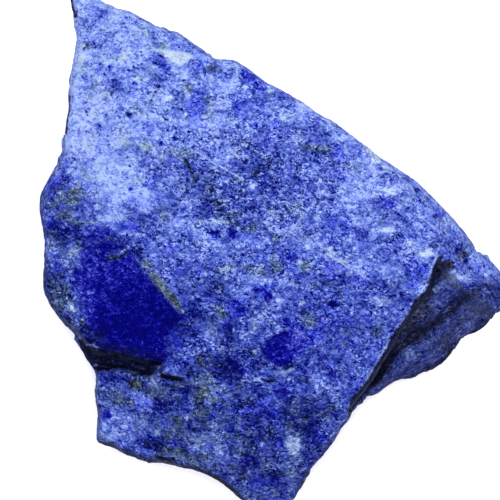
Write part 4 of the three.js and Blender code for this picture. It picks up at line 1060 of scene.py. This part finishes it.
att_a = node("ShaderNodeAttribute", attribute_name="rock_a")
att_b = node("ShaderNodeAttribute", attribute_name="rock_b")
att_c = node("ShaderNodeAttribute", attribute_name="rock_c")
sa, sb, sc_ = split(att_a.outputs["Color"]), split(att_b.outputs["Color"]), split(att_c.outputs["Color"])
A_LIGHT, A_GRAIN, A_SPECK, A_DEEP = sa[0], times(sa[1], 2.0), sa[2], att_a.outputs["Alpha"]
A_GREEN, A_DARK, A_WHITE, A_VIVID = sb[0], sb[1], sb[2], att_b.outputs["Alpha"]
A_DLIGHT, A_SHADE = sc_[0], sc_[1]
A_SIDE, A_HAIR = sc_[2], att_c.outputs["Alpha"]

# the grain fields are bent a little, so that no grain is round
bend = node("ShaderNodeTexNoise", noise_dimensions="3D")
link(moved((6, 40, 3)), bend.inputs["Vector"])
bend.inputs["Scale"].default_value = 1.5
bend.inputs["Detail"].default_value = 2.0
bv = node("ShaderNodeVectorMath", operation="MULTIPLY_ADD")
link(bend.outputs["Color"], bv.inputs[0])
bv.inputs[1].default_value = (0.9, 0.9, 0.9)
link(mm, bv.inputs[2])
mm_bent = bv.outputs[0]


def bent(offset):
    n = node("ShaderNodeVectorMath", operation="ADD")
    link(mm_bent, n.inputs[0])
    n.inputs[1].default_value = offset
    return n.outputs[0]


cloud = centred(noise_tex(mm, 0.24, 4, 0.75, 0.6))
patchy = centred(noise_tex(moved((31, 7, 3)), 0.62, 4, 0.80, 0.9))
blotch = centred(noise_tex(bent((17, 27, 13)), 1.15, 2, 0.85, 0.6))
fine = centred(noise_tex(bent((5, 17, 9)), 2.3, 2, 0.90, 0.5))
grit1 = split(cells(bent((2, 3, 4)), 3.9).outputs["Color"])
grit2 = split(cells(bent((12, 8, 1)), 1.8).outputs["Color"])
tiny, crumb = centred(grit1[0]), centred(grit2[0])
ragged = centred(noise_tex(moved((8, 2, 19)), 1.5, 3, 0.8))     # for the edges of every patch

K_CLOUD, K_PATCH, K_BLOTCH, K_FINE, K_TINY, K_CRUMB = 0.75, 1.02, 0.62, 1.08, 0.48, 0.18
level = total_of(A_LIGHT, times(cloud, K_CLOUD), times(patchy, K_PATCH))
# pale rock and blue rock meet at an edge, and so do blue and navy
pale_part = span(level, 0.55, 0.68, 0.0, 1.0, "SMOOTHSTEP")
navy_part = span(level, 0.22, 0.34, 1.0, 0.0, "SMOOTHSTEP")
level = total_of(level, times(math_node("SUBTRACT", pale_part, 0.5), 0.07), times(navy_part, -0.05), 0.025)
coarse_or_fine = span(noise_tex(moved((41, 6, 29)), 0.45, 2, 0.7), 0.36, 0.64, 0.50, 1.45)
calm = span(level, 0.55, 0.85, 1.0, 0.84)
grainy = times(times(total_of(times(fine, K_FINE), times(tiny, K_TINY), times(crumb, K_CRUMB)), coarse_or_fine), calm)
t = total_of(level, times(blotch, K_BLOTCH), times(grainy, A_GRAIN))

# dark specks: small grains, each cell with one or none, in drifts
sp = cells(bent((11, 5, 2)), 1.45)
sps = split(sp.outputs["Color"])
dot = math_node("SUBTRACT", times(sps[1], 0.40), sp.outputs["Distance"])
dot = span(dot, -0.03, 0.06, 0, 1, "SMOOTHSTEP")
drift = span(noise_tex(moved((14, 25, 36)), 0.5, 2, 0.7), 0.38, 0.62, 0.35, 1.5)
specks = times(dot, math_node("LESS_THAN", sps[0], times(A_SPECK, drift)))
t = math_node("SUBTRACT", t, times(specks, times(math_node("ADD", sps[2], 0.35), 0.44)))
# and pale ones, fewer: pale grains, partly painted sparkle of crystal faces
gl = cells(bent((4, 15, 22)), 1.25)
gls = split(gl.outputs["Color"])
glint = math_node("SUBTRACT", times(gls[1], 0.26), gl.outputs["Distance"])
glint = times(span(glint, -0.03, 0.06, 0, 1, "SMOOTHSTEP"), math_node("LESS_THAN", gls[0], 0.20))
t = math_node("ADD", t, times(glint, 0.24))

base = ramp(t, [(0.0, (0, 2, 94)), (0.06, (3, 9, 110)), (0.14, (17, 27, 133)), (0.26, (38, 52, 159)), (0.37, (58, 75, 185)), (0.48, (80, 99, 209)),
                (0.59, (101, 124, 231)), (0.70, (125, 150, 250)), (0.81, (150, 176, 264)), (0.91, (171, 197, 270)), (1.0, (194, 218, 274))])

# hue drifts at the size of grains and of blotches
hue1 = centred(noise_tex(moved((3, 33, 12)), 0.34, 4, 0.66, 0.8))
hue2 = centred(noise_tex(moved((23, 3, 41)), 0.38, 4, 0.66, 0.8))
cell_h = centred(grit2[1])
f_vivid = span(total_of(A_VIVID, times(hue1, 2.6), times(cell_h, 0.22)), 0.34, 0.90, 0.0, 1.0, "SMOOTHSTEP")
f_green = span(total_of(A_GREEN, times(hue2, 1.9), times(cell_h, -0.16)), 0.26, 0.88, 0.0, 0.95, "SMOOTHSTEP")
base = mix(f_vivid, base, ramp(t, [(0.0, (0, 0, 120)), (0.14, (10, 15, 152)), (0.26, (30, 36, 182)), (0.37, (50, 61, 210)), (0.48, (70, 85, 234)), (0.59, (92, 110, 252)),
                                   (0.72, (119, 142, 262)), (1.0, (172, 196, 274))]))
base = mix(f_green, base, ramp(t, [(0.0, (10, 18, 46)), (0.14, (22, 33, 70)), (0.26, (42, 57, 100)), (0.37, (63, 81, 127)), (0.48, (86, 107, 151)), (0.59, (106, 130, 174)),
                                   (0.75, (138, 164, 208)), (1.0, (196, 220, 236))]))
olive = ramp(t, [(0.0, (28, 34, 40)), (0.35, (66, 78, 88)), (0.6, (104, 122, 126)), (0.85, (146, 168, 168)), (1.0, (200, 220, 212))])
base = mix(span(math_node("ADD", A_GREEN, times(ragged, 0.8)), 0.68, 1.0, 0.0, 0.70), base, olive)

# ultramarine
t_deep = total_of(times(fine, 1.2), times(tiny, 0.30), times(crumb, 0.14), times(blotch, 0.8), times(patchy, 0.7), times(glint, 0.16), A_DLIGHT)
ultra = ramp(t_deep, [(0.0, (0, 0, 92)), (0.30, (0, 0, 113)), (0.45, (6, 6, 134)), (0.60, (19, 21, 164)), (0.78, (52, 58, 202)), (1.0, (130, 140, 240))])
f_deep = span(total_of(A_DEEP, times(ragged, 1.1), times(patchy, 0.5), times(fine, 0.5)), 0.30, 0.70, 0.0, 1.0, "SMOOTHSTEP")
base = mix(f_deep, base, ultra)
f_white = span(math_node("ADD", A_WHITE, times(total_of(ragged, times(fine, 0.7), times(crumb, 0.2)), 0.9)), 0.22, 0.62, 0.0, 0.95, "SMOOTHSTEP")
f_white = times(f_white, span(A_WHITE, 0.02, 0.2))
base = mix(f_white, base, ramp(t, [(0.0, (98, 122, 200)), (0.35, (142, 169, 238)), (0.6, (178, 204, 254)), (1.0, (222, 242, 268))]))
# painted shade: sheltered rock turns navy
base = mix(times(A_SHADE, 0.97), base, ramp(t, [(0.0, (6, 6, 30)), (0.2, (18, 20, 60)), (0.4, (34, 40, 96)), (0.6, (58, 66, 132)), (1.0, (120, 132, 190))]))
f_dark = span(total_of(A_DARK, times(ragged, 0.40), times(patchy, 0.20)), 0.18, 0.74, 0.0, 0.97, "SMOOTHSTEP")
thin = times(span(total_of(patchy, times(hue1, 0.8), times(blotch, 0.5)), -0.20, 0.06, 0.0, 0.20), span(A_SHADE, 0.46, 0.60))
f_dark = times(f_dark, math_node("SUBTRACT", 1.0, thin))
# painted shadow, near black, in crevices and the undercut
shadow_black = ramp(t, [(0.0, (4, 4, 16)), (0.45, (13, 15, 40)), (0.7, (28, 31, 66)), (1.0, (70, 78, 130))])
# brownish painted shade in the recess and along the rims
brown_shade = ramp(t, [(0.0, (16, 17, 30)), (0.30, (33, 36, 54)), (0.50, (48, 52, 80)), (0.75, (74, 80, 120)), (1.0, (120, 128, 160))])
base = mix(f_dark, base, mix(span(A_SHADE, 0.10, 0.45), shadow_black, brown_shade))
off = math_node("ABSOLUTE", math_node("ADD", times(math_node("SUBTRACT", A_SIDE, 0.5), 8.0), times(ragged, 1.6)))
hair = span(off, 1.35, 0.55, 0.0, 1.0, "SMOOTHSTEP")
strength = times(math_node("SUBTRACT", A_HAIR, 0.5), 2.0)
uneven = span(noise_tex(moved((1, 44, 7)), 1.1, 3, 0.8), 0.36, 0.50, 0.50, 1.0)
whole = math_node("MAXIMUM", uneven, span(strength, 0.86, 0.97))
base = mix(times(times(hair, whole), span(strength, 0.0, 1.0)), base, ramp(t, [(0.0, (3, 3, 16)), (0.5, (12, 14, 42)), (1.0, (40, 46, 90))]))
base = mix(times(times(hair, uneven), span(strength, 0.0, -1.0)), base, ramp(t, [(0.0, (120, 146, 208)), (0.5, (168, 195, 246)), (1.0, (216, 236, 262))]))

bsdf = node("ShaderNodeBsdfPrincipled")
link(base, bsdf.inputs["Base Color"])
rough = math_node("MAXIMUM", span(total_of(fine, times(crumb, 0.6)), -0.4, 0.4, 0.55, 0.90), f_dark)
link(rough, bsdf.inputs["Roughness"])
bsdf.inputs["Specular IOR Level"].default_value = 0.02

bump1 = node("ShaderNodeBump")
bump1.inputs["Strength"].default_value = 0.8
bump1.inputs["Distance"].default_value = 0.00014
height = total_of(times(crumb, 0.7), times(tiny, 0.4), times(fine, 1.5), times(noise_tex(moved((9, 1, 6)), 5.5, 2, 0.6), 0.7))
link(height, bump1.inputs["Height"])
link(bump1.outputs[0], bsdf.inputs["Normal"])
out = node("ShaderNodeOutputMaterial")
link(bsdf.outputs[0], out.inputs["Surface"])

stone = bpy.data.objects.new("lapis_rock", mesh)
bpy.context.scene.collection.objects.link(stone)
mesh.materials.append(mat)
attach(stone, "root")
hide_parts("lapis_stone")

# ---------------------------------------------------------------- floor, light, camera
fm = bpy.data.meshes.new("floor")
R = 3.0
fm.from_pydata([(-R, -R, 0), (R, -R, 0), (R, R, 0), (-R, R, 0)], [], [(0, 1, 2, 3)])
floor = bpy.data.objects.new("floor", fm)
bpy.context.scene.collection.objects.link(floor)
pale = bpy.data.materials.new("pale_floor")
pale.use_nodes = True
pb = pale.node_tree.nodes["Principled BSDF"]
pb.inputs["Base Color"].default_value = (0.98, 0.98, 0.98, 1)
pb.inputs["Roughness"].default_value = 0.9
pb.inputs["Specular IOR Level"].default_value = 0.1
fm.materials.append(pale)

scene = bpy.context.scene
world = bpy.data.worlds.new("studio")
scene.world = world
world.use_nodes = True
wn, wl = world.node_tree.nodes, world.node_tree.links
sky = wn["Background"]
sky.inputs["Color"].default_value = (1, 1, 1, 1)
# white walls all round, a dimmer ceiling
wc = wn.new("ShaderNodeTexCoord")
wx = wn.new("ShaderNodeSeparateXYZ")
wm = wn.new("ShaderNodeMapRange")
wm.interpolation_type = "SMOOTHSTEP"
for key_, val in (("From Min", 0.10), ("From Max", 0.60), ("To Min", 1.28), ("To Max", 0.39)):
    wm.inputs[key_].default_value = val
wl.new(wc.outputs["Generated"], wx.inputs[0])
wl.new(wx.outputs["Z"], wm.inputs["Value"])
wl.new(wm.outputs["Result"], sky.inputs["Strength"])

from mathutils import Vector


def area(name, where, size_, power):
    d = bpy.data.lights.new(name, "AREA")
    d.shape = "DISK"
    d.size = size_
    d.energy = power
    o = bpy.data.objects.new(name, d)
    o.location = where
    o.rotation_euler = (Vector((0, 0, 0.02)) - Vector(where)).to_track_quat("-Z", "Y").to_euler()
    scene.collection.objects.link(o)


area("overhead", (0.0, 0.05, 2.75), 0.9, 93.5)
area("key", (0.25, 1.05, 1.05), 0.7, 8.0)

cam_d = bpy.data.cameras.new("camera")
cam = bpy.data.objects.new("camera", cam_d)
scene.collection.objects.link(cam)
AIM = np.array([(250 - CENTRE_U) * UNIT, (CENTRE_V - 250) * UNIT, 34.0]) - SHIFT
HEIGHT = 2.5
cam.location = (AIM[0] / 1000, AIM[1] / 1000, HEIGHT)
cam.rotation_euler = (0, 0, 0)
cam_d.sensor_width = 36.0
cam_d.lens = 36.0 * (HEIGHT - AIM[2] / 1000) / (500 * UNIT / 1000)
cam_d.clip_end = 20.0
scene.camera = cam

scene.view_settings.view_transform = "Standard"
scene.view_settings.look = "None"
scene.view_settings.exposure = 0.0
scene.view_settings.gamma = 1.0
